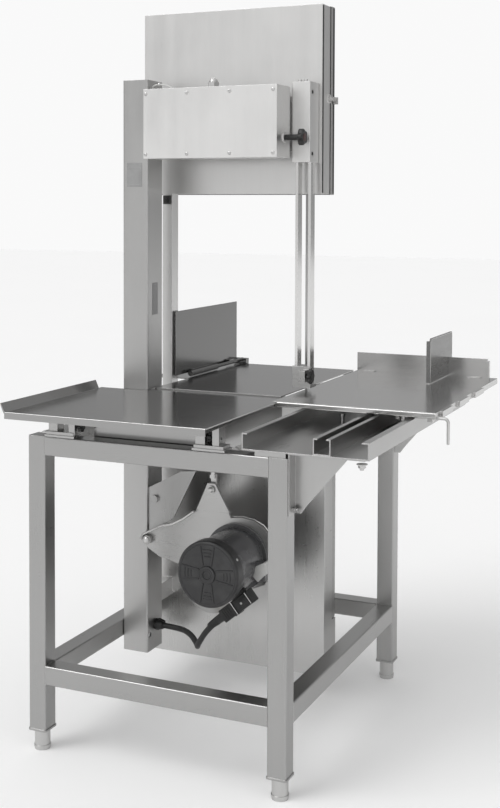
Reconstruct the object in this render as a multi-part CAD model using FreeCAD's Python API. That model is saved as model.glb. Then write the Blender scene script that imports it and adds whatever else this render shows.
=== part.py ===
"""Floor-standing butcher's bone saw: square-tube stand, offset column and beam,
enclosed wheels, fixed and sliding tables, belt-driven motor on a swing plate."""
import FreeCAD, Part
import math
import os

os.makedirs("parts", exist_ok=True)

# ---------------------------------------------------------------- driving sizes
# Stand
TUBE = 50.0
TUBE_WALL = 3.0
STAND_W = 726.0
STAND_D = 890.0
STAND_TOP = 829.0
LOW_RAIL_Z = 178.0
LEG_FOOT_Z = 58.0
FOOT_R = 20.5
STUD_R = 8.0
RUN_FIT = 0.08

# Column and beam
COL_X0 = 50.0
COL_X1 = 130.0
COL_Y0 = 405.0
COL_Y1 = 495.0
COL_Z0 = 140.0
COL_Z1 = 1780.0
BEAM_X1 = 527.0
BEAM_Z0 = 1557.0
BEAM_Z1 = 1753.0
COVER_X0 = 118.0
COVER_T = 3.0
BEAM_WALL = 4.0
SCREW_Y = 440.0
SCREW_R = 10.0
GLAND_Y = 456.0
GLAND_Z = 208.0

# Wheels and blade
WHEEL_X = 320.0
WHEEL_Y = 613.0
WHEEL_R = 213.0
WHEEL_W = 30.0
UPPER_Z = 1715.0
LOWER_Z = 353.0
AXLE_R = 15.0
BLADE_T = 0.6
BLADE_W = 20.0
BLADE_GAP = 0.35
BLADE_X = WHEEL_X + WHEEL_R + BLADE_GAP + BLADE_T / 2
RETURN_X = WHEEL_X - WHEEL_R - BLADE_GAP - BLADE_T / 2

# Wheel housings
SHEET = 2.5
HOUSE_Y0 = 575.0
HOUSE_Y1 = 639.0
DOOR_Y0 = 641.0
DOOR_Y1 = 669.0
HEAD_X0 = 28.0
HEAD_X1 = 592.0
HEAD_Z0 = 1459.0
HEAD_Z1 = 1989.0
LOW_X0 = 53.0
LOW_X1 = 606.0
LOW_Z0 = 88.0
LOW_Z1 = 850.0
LOW_DOOR_Z0 = 234.0
LOW_DOOR_Z1 = 772.0
LOW_DOOR_X0 = 70.0
GRIP_IN = 56.0                # lower door grip: bar centre in from the free edge
GRIP_Z0 = 470.0
GRIP_Z1 = 570.0
GRIP_T = 8.0
GRIP_OUT = 22.0
GRIP_GAP = 14.0
GRIP_FOOT = 12.0
KNUCKLE_R = 6.0
PIN_R = 3.0
HINGE_LEN = 30.0
HEAD_HINGE_X = 18.0
HEAD_HINGE_Y = 640.0
HEAD_HINGES = (1560.0, 1850.0)
LOW_HINGE_X = 62.0
LOW_HINGE_Y = 673.0
LOW_HINGES = (300.0, 640.0)
LATCH_Y = 628.0
LATCH_Z = 1729.0
GUARD_X0 = 81.0
GUARD_X1 = 112.0
GUARD_Y0 = 588.0
GUARD_Y1 = 628.0
GUARD_WALL = 2.0
SLOT_HALF = 5.0

# Tables
TABLE_Z = 903.0
TABLE_T = 3.0
REAR_TABLE_Z = 899.0
REAR_X0 = -20.0
REAR_X1 = 550.0
REAR_Y0 = -80.0
MAIN_X1 = 528.0
MAIN_Y0 = 438.0
MAIN_Y1 = 1040.0
SLIDE_X0 = 540.0
SLIDE_X1 = 988.0
SLIDE_Y0 = 346.0
SLIDE_Y1 = 1046.0
SLIDE_T = 2.0
RIM_X0 = 554.0
APRON_X0 = 165.0
APRON_X1 = 532.0
APRON_Y0 = 56.0
CUT_X = 138.0
CUT_Y = 645.0

# Bearers under the fixed tables and their clamping knobs
LEFT_CLAMP_X = 119.0
RIGHT_CLAMP_X = 527.0
CLAMP_BLOCK = 18.0
KNOB_Y = 20.0

# Table lock, fence and meat pusher
LEVER_LUG_X = 964.0
LEVER_Y = 366.0
LEVER_Z = 887.5
LEVER_R = 4.0
LEVER_END_X = 1016.0
LEVER_DROP = 62.0
FENCE_X0 = 542.0
FENCE_X1 = 960.0
FENCE_Y0 = 1038.0
FENCE_T = 4.0
FENCE_Z1 = 961.0
PUSH_X = 833.0
PUSH_T = 3.0
PUSH_Y0 = 838.0
PUSH_Y1 = 1086.0
PUSH_Z1 = 1037.0
SHOE_LEN = 34.0
SHOE_DROP = 30.0

# Thickness gauge
GAUGE_X = 116.0
GAUGE_T = 3.0
GAUGE_Y0 = 601.0
GAUGE_Y1 = 1038.0
GAUGE_Z0 = 915.0
GAUGE_Z1 = 1108.0

# Slide tray
TRAY_X0 = 608.0
TRAY_X1 = 928.0
TRAY_Z0 = 841.0
TRAY_Z1 = 882.0
TRAY_Y0 = 0.0
TRAY_Y1 = 890.0
STRUT_X0 = 790.0
STRUT_X1 = 834.0

# Guide
HOLD_X0 = 529.0
HOLD_X1 = 583.0
HOLD_Y0 = 505.0
HOLD_Y1 = 573.0
HOLD_Z0 = 1546.0
HOLD_Z1 = 1768.0
BAR_T = 8.0
BAR_D = 30.0
BAR_Y0 = 525.0
BAR_A_X0 = 533.0
BAR_B_X0 = 571.0
GUIDE_Z0 = 918.0
GUIDE_Z1 = 978.0
CLAMP_Y = 455.0
CLAMP_Z = 1612.0

# Motor drive
MOTOR_X = 419.0
MOTOR_Z = 459.0
MOTOR_R = 89.0
BODY_R = 82.0
FLANGE_R = 92.0
MOTOR_Y0 = 198.0
PLATE_Y0 = 395.0
PLATE_Y1 = 401.0
PULLEY_Y0 = 428.0
PULLEY_Y1 = 450.0
MOTOR_PULLEY_R = 45.0
DRIVEN_R = 78.0
SWING_X = 140.0
SWING_Z = 475.0
APEX_X = 340.0
APEX_Z = 637.0
HANGER_Z = 760.0
SHAFT_R = 14.0
PIVOT_R = 8.0
ROD_R = 6.0

# Motor lead and its connector
LEAD_R = 8.0
CONN_LEN = 104.0
CONN_W = 38.0
CONN_TILT = 39.6
CONN_X = 412.0
CONN_Z = 338.0
CONN_Y = 300.0

# Shift from the stand's left rear corner to the middle of the whole machine
SHIFT_X = -494.5
SHIFT_Y = -503.0


# ---------------------------------------------------------------- helpers
def vec(x, y, z):
    return FreeCAD.Vector(x, y, z)


def box(x0, y0, z0, x1, y1, z1):
    return Part.makeBox(x1 - x0, y1 - y0, z1 - z0, vec(x0, y0, z0))


def cyl_x(y, z, r, x0, x1):
    return Part.makeCylinder(r, x1 - x0, vec(x0, y, z), vec(1, 0, 0))


def cyl_y(x, z, r, y0, y1):
    return Part.makeCylinder(r, y1 - y0, vec(x, y0, z), vec(0, 1, 0))


def cyl_z(x, y, r, z0, z1):
    return Part.makeCylinder(r, z1 - z0, vec(x, y, z0), vec(0, 0, 1))


def prism(points, direction):
    wire = Part.makePolygon(points + [points[0]])
    return Part.Face(wire).extrude(direction)


def prism_y(outline, y0, y1):
    return prism([vec(x, y0, z) for x, z in outline], vec(0, y1 - y0, 0))


def prism_x(outline, x0, x1):
    return prism([vec(x0, y, z) for y, z in outline], vec(x1 - x0, 0, 0))


def prism_z(outline, z0, z1):
    return prism([vec(x, y, z0) for x, y in outline], vec(0, 0, z1 - z0))


def fuse(shapes):
    whole = shapes[0]
    for shape in shapes[1:]:
        whole = whole.fuse(shape)
    return whole.removeSplitter()


def soften(shape, axis, size):
    """Round the edges of a box that run along one axis."""
    edges = []
    for edge in shape.Edges:
        ends = edge.Vertexes
        if len(ends) < 2:
            continue
        step = ends[1].Point - ends[0].Point
        if abs(abs(step.dot(axis)) - step.Length) < 0.001:
            edges.append(edge)
    return shape.makeFillet(size, edges)


def save(name, shape):
    shape = shape.copy()
    shape.translate(vec(SHIFT_X, SHIFT_Y, 0))
    shape.exportStep("parts/" + name + ".step")


# ---------------------------------------------------------------- stand
def leg(x, y):
    """Square leg with a welded foot plate and a threaded boss for the foot."""
    tube = soften(box(x, y, LEG_FOOT_Z, x + TUBE, y + TUBE, STAND_TOP), vec(0, 0, 1), 4.0)
    w = TUBE_WALL
    tube = tube.cut(box(x + w, y + w, LEG_FOOT_Z - 1, x + TUBE - w, y + TUBE - w, STAND_TOP - w))
    cx = x + TUBE / 2
    cy = y + TUBE / 2
    plate = soften(box(x - 2, y - 2, LEG_FOOT_Z - 5, x + TUBE + 2, y + TUBE + 2, LEG_FOOT_Z),
                   vec(0, 0, 1), 5.0)
    boss = cyl_z(cx, cy, 16.0, LEG_FOOT_Z - 1, LEG_FOOT_Z + 25)
    bore = cyl_z(cx, cy, STUD_R + RUN_FIT, LEG_FOOT_Z - 10, LEG_FOOT_Z + 40)
    return fuse([tube, plate, boss]).cut(bore)


def foot(x, y):
    """Levelling foot: turned sleeve on a threaded stud."""
    cx = x + TUBE / 2
    cy = y + TUBE / 2
    body = cyl_z(cx, cy, FOOT_R, 0, LEG_FOOT_Z - 5.5)
    body = body.makeChamfer(2.0, [body.Edges[0]])
    collar = cyl_z(cx, cy, FOOT_R + 1.5, 6.0, 12.0)
    stud = cyl_z(cx, cy, STUD_R, 20, LEG_FOOT_Z + 60)
    return fuse([body, collar, stud])


def rail_x(y, z):
    outer = box(TUBE, y, z, STAND_W - TUBE, y + TUBE, z + TUBE)
    outer = soften(outer, vec(1, 0, 0), 4.0)
    w = TUBE_WALL
    return outer.cut(box(TUBE - 1, y + w, z + w, STAND_W, y + TUBE - w, z + TUBE - w))


def rail_y(x, z):
    outer = box(x, TUBE, z, x + TUBE, STAND_D - TUBE, z + TUBE)
    outer = soften(outer, vec(0, 1, 0), 4.0)
    w = TUBE_WALL
    return outer.cut(box(x + w, TUBE - 1, z + w, x + TUBE - w, STAND_D, z + TUBE - w))


def build_stand():
    far_x = STAND_W - TUBE
    far_y = STAND_D - TUBE
    corners = {
        "rear_left": (0.0, 0.0),
        "rear_right": (far_x, 0.0),
        "front_left": (0.0, far_y),
        "front_right": (far_x, far_y),
    }
    for name, (x, y) in corners.items():
        save("leg_" + name, leg(x, y))
        save("foot_" + name, foot(x, y))
    for level, z in (("low", LOW_RAIL_Z), ("top", STAND_TOP - TUBE)):
        save(level + "_rail_rear", rail_x(0.0, z))
        save(level + "_rail_front", rail_x(far_y, z))
        save(level + "_rail_left", rail_y(0.0, z))
        save(level + "_rail_right", rail_y(far_x, z))


# ---------------------------------------------------------------- column and beam
def column():
    outer = soften(box(COL_X0, COL_Y0, COL_Z0, COL_X1, COL_Y1, COL_Z1), vec(0, 0, 1), 5.0)
    wall = BEAM_WALL
    inner = box(COL_X0 + wall, COL_Y0 + wall, COL_Z0 - 1, COL_X1 - wall, COL_Y1 - wall, COL_Z1 - wall)
    cable_hole = cyl_x(GLAND_Y, GLAND_Z, 9.0, COL_X1 - 10, COL_X1 + 5)
    drain = cyl_x(COL_Y0 + 14, GLAND_Z - 18, 9.0, COL_X1 - 10, COL_X1 + 5)
    return outer.cut(inner).cut(cable_hole).cut(drain)


def cable_gland():
    """Screwed cable entries: one for the motor lead, one for the mains lead."""
    nut = hex_x(GLAND_Y, GLAND_Z, 17.0, COL_X1, COL_X1 + 9)
    dome = Part.makeCone(15.0, 11.0, 15.0, vec(COL_X1 + 9, GLAND_Y, GLAND_Z), vec(1, 0, 0))
    bore = cyl_x(GLAND_Y, GLAND_Z, LEAD_R + 0.3, COL_X1 - 1, COL_X1 + 30)
    motor_entry = fuse([nut, dome]).cut(bore)
    y = COL_Y1 - 20
    low = hex_x(y, GLAND_Z, 12.0, COL_X1, COL_X1 + 7)
    cap = Part.makeCone(10.5, 8.0, 10.0, vec(COL_X1 + 7, y, GLAND_Z), vec(1, 0, 0))
    mains_entry = fuse([low, cap]).cut(cyl_x(y, GLAND_Z, 5.0, COL_X1 - 1, COL_X1 + 30))
    return Part.makeCompound([motor_entry, mains_entry])


def hex_x(y, z, r, x0, x1):
    ring = []
    for i in range(6):
        a = math.radians(60 * i + 30)
        ring.append((y + r * math.cos(a), z + r * math.sin(a)))
    return prism_x(ring, x0, x1)


def hex_z(x, y, r, z0, z1):
    ring = []
    for i in range(6):
        a = math.radians(60 * i)
        ring.append((x + r * math.cos(a), y + r * math.sin(a)))
    return prism_z(ring, z0, z1)


def hex_y(x, z, r, y0, y1):
    ring = []
    for i in range(6):
        a = math.radians(60 * i + 30)
        ring.append((x + r * math.cos(a), z + r * math.sin(a)))
    return prism_y(ring, y0, y1)


def beam_box():
    """Hollow beam that leaves the column sideways; open at the rear under its cover."""
    outer = box(COL_X1, COL_Y0, BEAM_Z0, BEAM_X1, COL_Y1, BEAM_Z1)
    w = BEAM_WALL
    inner = box(COL_X1 + w, COL_Y0 - 1, BEAM_Z0 + w, BEAM_X1 - w, COL_Y1 - w, BEAM_Z1 - w)
    shell = outer.cut(inner)
    slot = box(WHEEL_X - AXLE_R - 3, COL_Y1 - w - 1, UPPER_Z - AXLE_R - 16,
               WHEEL_X + AXLE_R + 3, COL_Y1 + 1, UPPER_Z + AXLE_R + 3)
    screw_hole = cyl_z(WHEEL_X, SCREW_Y, SCREW_R + RUN_FIT, BEAM_Z1 - w - 1, BEAM_Z1 + 1)
    guide_l = box(WHEEL_X - 42, COL_Y0 + 6, BEAM_Z0 + w, WHEEL_X - 36, COL_Y1 - w, BEAM_Z1 - w)
    guide_r = box(WHEEL_X + 36, COL_Y0 + 6, BEAM_Z0 + w, WHEEL_X + 42, COL_Y1 - w, BEAM_Z1 - w)
    web = box(BEAM_X1 - 20, COL_Y1, HOLD_Z0 + 30, BEAM_X1 - 8, HOLD_Y1, HOLD_Z1 - 40)
    web = web.fuse(box(BEAM_X1 - 20, HOLD_Y0 + 5, HOLD_Z0 + 30, HOLD_X0, HOLD_Y1, HOLD_Z1 - 40))
    clamp_boss = cyl_x(CLAMP_Y, CLAMP_Z, 14.0, BEAM_X1 - 1, BEAM_X1 + 4)
    clamp_bore = cyl_x(CLAMP_Y, CLAMP_Z, 5.0 + RUN_FIT, BEAM_X1 - 30, BEAM_X1 + 10)
    whole = fuse([shell.cut(slot).cut(screw_hole), guide_l, guide_r, web, clamp_boss])
    return whole.cut(clamp_bore)


def beam_cover():
    plate = box(COVER_X0, COL_Y0 - COVER_T, BEAM_Z0, BEAM_X1, COL_Y0, BEAM_Z1)
    for x, z in cover_screw_places():
        plate = plate.cut(cyl_y(x, z, 2.6, COL_Y0 - 10, COL_Y0 + 10))
    return plate


def cover_screw_places():
    places = []
    for x in (COVER_X0 + 7, COVER_X0 + 137, COVER_X0 + 268, BEAM_X1 - 11):
        for z in (BEAM_Z0 + 12, BEAM_Z1 - 14):
            places.append((x, z))
    return places


# ---------------------------------------------------------------- wheels and blade
def wheel(z):
    """Cast band wheel: flanged rim, thin web with round windows, hub with a bore."""
    y0 = WHEEL_Y - WHEEL_W / 2
    y1 = WHEEL_Y + WHEEL_W / 2
    rim = cyl_y(WHEEL_X, z, WHEEL_R, y0, y1).cut(cyl_y(WHEEL_X, z, WHEEL_R - 14, y0 - 1, y1 + 1))
    web = cyl_y(WHEEL_X, z, WHEEL_R - 10, WHEEL_Y - 5, WHEEL_Y + 5)
    for i in range(6):
        a = math.radians(60 * i)
        wx = WHEEL_X + 122 * math.cos(a)
        wz = z + 122 * math.sin(a)
        web = web.cut(cyl_y(wx, wz, 34.0, y0, y1))
    hub = cyl_y(WHEEL_X, z, 38.0, y0 - 2, y1 + 2)
    bore = cyl_y(WHEEL_X, z, AXLE_R + RUN_FIT, y0 - 10, y1 + 10)
    return fuse([rim, web, hub]).cut(bore)


def stadium(r, y0, y1):
    body = box(WHEEL_X - r, y0, LOWER_Z, WHEEL_X + r, y1, UPPER_Z)
    low = cyl_y(WHEEL_X, LOWER_Z, r, y0, y1)
    high = cyl_y(WHEEL_X, UPPER_Z, r, y0, y1)
    return fuse([body, low, high])


def blade():
    y0 = WHEEL_Y - BLADE_W / 2
    y1 = WHEEL_Y + BLADE_W / 2
    inner = WHEEL_R + BLADE_GAP
    return stadium(inner + BLADE_T, y0, y1).cut(stadium(inner, y0 - 1, y1 + 1))


def upper_carriage():
    """Sliding block in the beam with the upper axle."""
    block = box(WHEEL_X - 35.5, COL_Y0 + 8, UPPER_Z - 28, WHEEL_X + 35.5, COL_Y1 - 6, UPPER_Z + 28)
    block = block.cut(cyl_z(WHEEL_X, SCREW_Y, SCREW_R + RUN_FIT, UPPER_Z - 40, UPPER_Z + 40))
    axle = cyl_y(WHEEL_X, UPPER_Z, AXLE_R, COL_Y1 - 20, WHEEL_Y + WHEEL_W / 2 + 8)
    collar = cyl_y(WHEEL_X, UPPER_Z, 24.0, HOUSE_Y0 + 8, WHEEL_Y - WHEEL_W / 2 - 2.5)
    cap = cyl_y(WHEEL_X, UPPER_Z, 21.0, WHEEL_Y + WHEEL_W / 2 + 2.5, WHEEL_Y + WHEEL_W / 2 + 10)
    return fuse([block, axle, collar, cap])


def tension_screw():
    """Vertical screw with a domed nut above the beam; it lifts the carriage."""
    y = SCREW_Y
    stem = cyl_z(WHEEL_X, y, SCREW_R, BEAM_Z0 + 30, BEAM_Z1 + 8)
    washer = cyl_z(WHEEL_X, y, 19.0, BEAM_Z1, BEAM_Z1 + 3)
    nut = hex_z(WHEEL_X, y, 17.0, BEAM_Z1 + 3, BEAM_Z1 + 15)
    dome = Part.makeSphere(13.0, vec(WHEEL_X, y, BEAM_Z1 + 15)).common(
        box(WHEEL_X - 20, y - 20, BEAM_Z1 + 15, WHEEL_X + 20, y + 20, BEAM_Z1 + 40))
    return fuse([stem, washer, nut, dome])


# ---------------------------------------------------------------- housings and doors
def pan(x0, x1, z0, z1, y0, y1, back_low):
    """Sheet pan: a flat face with four walls; the face sits at the low-Y or the high-Y side."""
    outer = box(x0, y0, z0, x1, y1, z1)
    if back_low:
        inner = box(x0 + SHEET, y0 + SHEET, z0 + SHEET, x1 - SHEET, y1 + 1, z1 - SHEET)
    else:
        inner = box(x0 + SHEET, y0 - 1, z0 + SHEET, x1 - SHEET, y1 - SHEET, z1 - SHEET)
    return outer.cut(inner)


def blade_slot(x, z0, z1):
    return box(x - SLOT_HALF, WHEEL_Y - 16, z0, x + SLOT_HALF, WHEEL_Y + 16, z1)


def upper_housing():
    shell = pan(HEAD_X0, HEAD_X1, HEAD_Z0, HEAD_Z1, HOUSE_Y0, HOUSE_Y1, True)
    axle_slot = box(WHEEL_X - 18, HOUSE_Y0 - 1, UPPER_Z - AXLE_R - 16,
                    WHEEL_X + 18, HOUSE_Y0 + 5, UPPER_Z + AXLE_R + 3)
    shell = shell.cut(axle_slot)
    for x in (RETURN_X, BLADE_X):
        shell = shell.cut(blade_slot(x, HEAD_Z0 - 1, HEAD_Z0 + 5))
    pieces = [shell]
    for x in (WHEEL_X - 130, WHEEL_X + 70):
        pieces.append(box(x, COL_Y1, BEAM_Z0 + 15, x + 60, HOUSE_Y0, BEAM_Z1 - 15))
    for z in HEAD_HINGES:
        pieces.append(box(HEAD_HINGE_X, HOUSE_Y1 - 6, z, HEAD_X0, HOUSE_Y1, z + HINGE_LEN))
        pieces.append(cyl_z(HEAD_HINGE_X, HEAD_HINGE_Y, KNUCKLE_R, z, z + HINGE_LEN))
        pieces.append(cyl_z(HEAD_HINGE_X, HEAD_HINGE_Y, PIN_R, z, z + 2 * HINGE_LEN + 2))
    pieces.append(box(HEAD_X1, 618.0, LATCH_Z - 12, HEAD_X1 + 3, 637.0, LATCH_Z + 12))
    pieces.append(cyl_x(LATCH_Y, LATCH_Z, 4.0, HEAD_X1, HEAD_X1 + 12))
    return fuse(pieces)


def upper_door():
    shell = pan(HEAD_X0 - 2, HEAD_X1 + 2, HEAD_Z0 - 2, HEAD_Z1 + 2, DOOR_Y0, DOOR_Y1, False)
    for x in (RETURN_X, BLADE_X):
        shell = shell.cut(blade_slot(x, HEAD_Z0 - 3, HEAD_Z0 + 3))
    pieces = [shell]
    for z in HEAD_HINGES:
        z0 = z + HINGE_LEN + 0.5
        knuckle = cyl_z(HEAD_HINGE_X, HEAD_HINGE_Y, KNUCKLE_R, z0, z0 + HINGE_LEN)
        arm = prism_z([(HEAD_HINGE_X - 3, HEAD_HINGE_Y), (HEAD_HINGE_X + 3, HEAD_HINGE_Y),
                       (HEAD_X0, DOOR_Y0 + 6), (HEAD_X0, DOOR_Y0 + 14)], z0, z0 + HINGE_LEN)
        pieces.append(knuckle.fuse(arm))
    door = fuse(pieces)
    for z in HEAD_HINGES:
        door = door.cut(cyl_z(HEAD_HINGE_X, HEAD_HINGE_Y, PIN_R + RUN_FIT, z + 25, z + 70))
    return door


def upper_latch():
    """Toggle catch that swings over the door edge on its side pivot."""
    x0 = HEAD_X1 + 3.5
    hub = cyl_x(LATCH_Y, LATCH_Z, 8.0, x0, x0 + 6)
    arm = box(x0, LATCH_Y, LATCH_Z - 6, x0 + 4, DOOR_Y1 - 6, LATCH_Z + 6)
    grip = box(x0, DOOR_Y1 - 14, LATCH_Z - 14, x0 + 12, DOOR_Y1 - 6, LATCH_Z + 6)
    bore = cyl_x(LATCH_Y, LATCH_Z, 4.0 + RUN_FIT, x0 - 5, x0 + 20)
    return fuse([hub, arm, grip]).cut(bore)


def lower_housing():
    shell = pan(LOW_X0, LOW_X1, LOW_Z0, LOW_Z1, HOUSE_Y0, HOUSE_Y1, True)
    for x in (RETURN_X, BLADE_X):
        shell = shell.cut(blade_slot(x, LOW_Z1 - 5, LOW_Z1 + 1))
    pieces = [shell]
    # Fixed skirt and header outside the door opening
    skirt = pan(LOW_X0, LOW_X1, LOW_Z0, LOW_DOOR_Z0 - 3, HOUSE_Y1, DOOR_Y1, False)
    skirt = skirt.cut(box(LOW_X0 + SHEET, HOUSE_Y1 - 1, LOW_DOOR_Z0 - 10,
                          LOW_X1 - SHEET, DOOR_Y1 - SHEET, LOW_DOOR_Z0))
    header = pan(LOW_X0, LOW_X1, LOW_DOOR_Z1 + 3, LOW_Z1, HOUSE_Y1, DOOR_Y1, False)
    header = header.cut(box(LOW_X0 + SHEET, HOUSE_Y1 - 1, LOW_DOOR_Z1,
                            LOW_X1 - SHEET, DOOR_Y1 - SHEET, LOW_DOOR_Z1 + 10))
    header = header.cut(blade_slot(RETURN_X, LOW_Z1 - 5, LOW_Z1 + 1))
    pieces += [skirt, header]
    # Shaft bearing on the rear face
    bearing = cyl_y(WHEEL_X, LOWER_Z, 42.0, HOUSE_Y0 - 75, HOUSE_Y0)
    flange = cyl_y(WHEEL_X, LOWER_Z, 62.0, HOUSE_Y0 - 12, HOUSE_Y0)
    pieces += [bearing, flange]
    # Brackets to the column and hanger for the motor rod
    for z in (262.0, 690.0):
        pieces.append(box(COL_X0 + 8, COL_Y1, z, COL_X1 - 8, HOUSE_Y0, z + 50))
    pieces.append(box(APEX_X - 30, PLATE_Y0 - 12, HANGER_Z, APEX_X + 30, HOUSE_Y0, HANGER_Z + 6))
    pieces.append(prism_x([(HOUSE_Y0, HANGER_Z), (HOUSE_Y0, HANGER_Z - 60), (450.0, HANGER_Z)],
                          APEX_X + 24, APEX_X + 30))
    for z in LOW_HINGES:
        pieces.append(box(LOW_X0, HOUSE_Y1 - 20, z, LOW_X0 + 4, LOW_HINGE_Y + 2, z + HINGE_LEN))
        pieces.append(cyl_z(LOW_HINGE_X, LOW_HINGE_Y, KNUCKLE_R, z, z + HINGE_LEN))
        pieces.append(box(LOW_X0, LOW_HINGE_Y - 3, z, LOW_HINGE_X, LOW_HINGE_Y + 2, z + HINGE_LEN))
        pieces.append(cyl_z(LOW_HINGE_X, LOW_HINGE_Y, PIN_R, z, z + 2 * HINGE_LEN + 2))
    whole = fuse(pieces)
    bore = cyl_y(WHEEL_X, LOWER_Z, AXLE_R + RUN_FIT, HOUSE_Y0 - 90, HOUSE_Y0 + 20)
    rod_slot = box(APEX_X - 18, PLATE_Y0 - 5, HANGER_Z - 2, APEX_X + 18, PLATE_Y0 + 13, HANGER_Z + 10)
    return whole.cut(bore).cut(rod_slot)


def lower_door():
    x1 = LOW_X1 - 2
    shell = pan(LOW_DOOR_X0, x1, LOW_DOOR_Z0, LOW_DOOR_Z1, DOOR_Y0, DOOR_Y1, False)
    pieces = [shell]
    for z in LOW_HINGES:
        z0 = z + HINGE_LEN + 0.5
        knuckle = cyl_z(LOW_HINGE_X, LOW_HINGE_Y, KNUCKLE_R, z0, z0 + HINGE_LEN)
        leaf = box(LOW_HINGE_X, DOOR_Y1, z0, LOW_DOOR_X0 + 30, LOW_HINGE_Y, z0 + HINGE_LEN)
        pieces.append(knuckle.fuse(leaf))
    grip_x = x1 - GRIP_IN
    grip = box(grip_x - GRIP_T / 2, DOOR_Y1, GRIP_Z0, grip_x + GRIP_T / 2, DOOR_Y1 + GRIP_OUT, GRIP_Z1)
    gap = box(grip_x - GRIP_T, DOOR_Y1 - 1, GRIP_Z0 + GRIP_FOOT,
              grip_x + GRIP_T, DOOR_Y1 + GRIP_GAP, GRIP_Z1 - GRIP_FOOT)
    pieces.append(grip.cut(gap))
    door = fuse(pieces)
    for z in LOW_HINGES:
        door = door.cut(cyl_z(LOW_HINGE_X, LOW_HINGE_Y, PIN_R + RUN_FIT, z + 25, z + 70))
    return door


def return_guard():
    """Square duct around the blade's upward run."""
    w = GUARD_WALL
    outer = box(GUARD_X0, GUARD_Y0, LOW_Z1, GUARD_X1, GUARD_Y1, HEAD_Z0)
    inner = box(GUARD_X0 + w, GUARD_Y0 + w, LOW_Z1 - 1, GUARD_X1 - w, GUARD_Y1 - w, HEAD_Z0 + 1)
    return outer.cut(inner)


# ---------------------------------------------------------------- tables
def rear_table():
    """Rear extension: thin sheet with a raised left lip and turned-down edges."""
    z1 = REAR_TABLE_Z
    z0 = z1 - TABLE_T
    flat = prism_z([(REAR_X0, REAR_Y0), (REAR_X1, REAR_Y0), (REAR_X1, MAIN_Y0 - 2),
                    (COL_X1 + 4, MAIN_Y0 - 2), (COL_X1 + 4, COL_Y0 - 3), (REAR_X0, COL_Y0 - 3)], z0, z1)
    lip = prism_y([(REAR_X0, z0), (REAR_X0 + 4, z0), (REAR_X0 - 8, z1 + 23), (REAR_X0 - 11, z1 + 22)],
                  REAR_Y0, COL_Y0 - 22)
    front = box(REAR_X0 + 2, REAR_Y0, z1 - 17, REAR_X1, REAR_Y0 + TABLE_T, z1 - 1)
    right = box(REAR_X1 - TABLE_T, REAR_Y0, z1 - 10, REAR_X1, MAIN_Y0 - 2, z1 - 1)
    apron = box(APRON_X0, APRON_Y0, STAND_TOP - 10, APRON_X1, APRON_Y0 + TABLE_T, z1 - 1)
    side = box(APRON_X1 - TABLE_T, APRON_Y0, STAND_TOP - 10, APRON_X1, MAIN_Y0 - 2, z1 - 1)
    return fuse([flat, lip, front, right, apron, side])


def main_table():
    z0 = TABLE_Z - TABLE_T
    left = 20.0
    outline = [(COL_X1 + 6, MAIN_Y0), (MAIN_X1, MAIN_Y0), (MAIN_X1, MAIN_Y1), (left, MAIN_Y1),
               (left, CUT_Y), (CUT_X, CUT_Y), (CUT_X, COL_Y1 + 5), (COL_X1 + 6, COL_Y1 + 5)]
    flat = prism_z(outline, z0, TABLE_Z)
    far = box(left, MAIN_Y1 - 3, TABLE_Z - 16, MAIN_X1, MAIN_Y1, TABLE_Z - 1)
    near = box(COL_X1 + 6, MAIN_Y0, TABLE_Z - 16, MAIN_X1, MAIN_Y0 + 3, TABLE_Z - 1)
    rail = box(left + 20, MAIN_Y1, TABLE_Z - 18, MAIN_X1 - 10, MAIN_Y1 + 10, TABLE_Z - 10)
    return fuse([flat, far, near, rail])


def table_supports():
    """Bearers that carry the fixed tables on the top rails."""
    solids = []
    under = REAR_TABLE_Z - TABLE_T
    for x0, head_x, clamp_x, clamp_top in ((50.0, 58.0, LEFT_CLAMP_X, STAND_TOP + 45),
                                           (474.0, 480.0, RIGHT_CLAMP_X, under)):
        base = box(x0, 0.5, STAND_TOP, x0 + 88, TUBE - 2, STAND_TOP + 6)
        step = box(x0 + 4, 3.0, STAND_TOP + 5, x0 + 84, TUBE - 6, STAND_TOP + 14)
        head = box(head_x, 8.0, STAND_TOP + 6, head_x + 26, TUBE - 10, under)
        clamp = box(clamp_x, 6.0, STAND_TOP + 6, clamp_x + CLAMP_BLOCK, TUBE - 8, clamp_top)
        bearer = fuse([base, step, head, clamp])
        hole = cyl_x(KNOB_Y, STAND_TOP + 30, 4.0 + RUN_FIT, clamp_x - 1, clamp_x + CLAMP_BLOCK + 1)
        solids.append(bearer.cut(hole))
    for x in (150.0, 440.0):
        y0 = STAND_D - TUBE + 4
        base = box(x, y0, STAND_TOP, x + 60, STAND_D - 4, STAND_TOP + 6)
        post = box(x + 15, y0 + 8, STAND_TOP + 5, x + 45, STAND_D - 12, TABLE_Z - TABLE_T)
        solids.append(fuse([base, post]))
    return Part.makeCompound(solids)


def lobed_knob(lobes, r, depth):
    """Clamping knob with rounded lobes; axis along +X, back face at the origin."""
    core = cyl_x(0, 0, r * 0.72, 4.0, depth)
    pieces = [core, cyl_x(0, 0, r * 0.45, 0.0, 6.0)]
    for i in range(lobes):
        a = 2 * math.pi * i / lobes
        pieces.append(cyl_x(0.68 * r * math.cos(a), 0.68 * r * math.sin(a), r * 0.32, 4.0, depth))
    knob = fuse(pieces)
    return knob


def support_knob(x, face):
    """Star knob on a short screw beside a bearer; face gives the way it points along X."""
    knob = lobed_knob(7, 15.5, 16.0)
    stud = cyl_x(0, 0, 4.0, -12.0, 6.0)
    knob = knob.fuse(stud).removeSplitter()
    if face < 0:
        knob = knob.mirror(vec(0, 0, 0), vec(1, 0, 0))
    knob.translate(vec(x, KNOB_Y, STAND_TOP + 30))
    return knob


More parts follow.
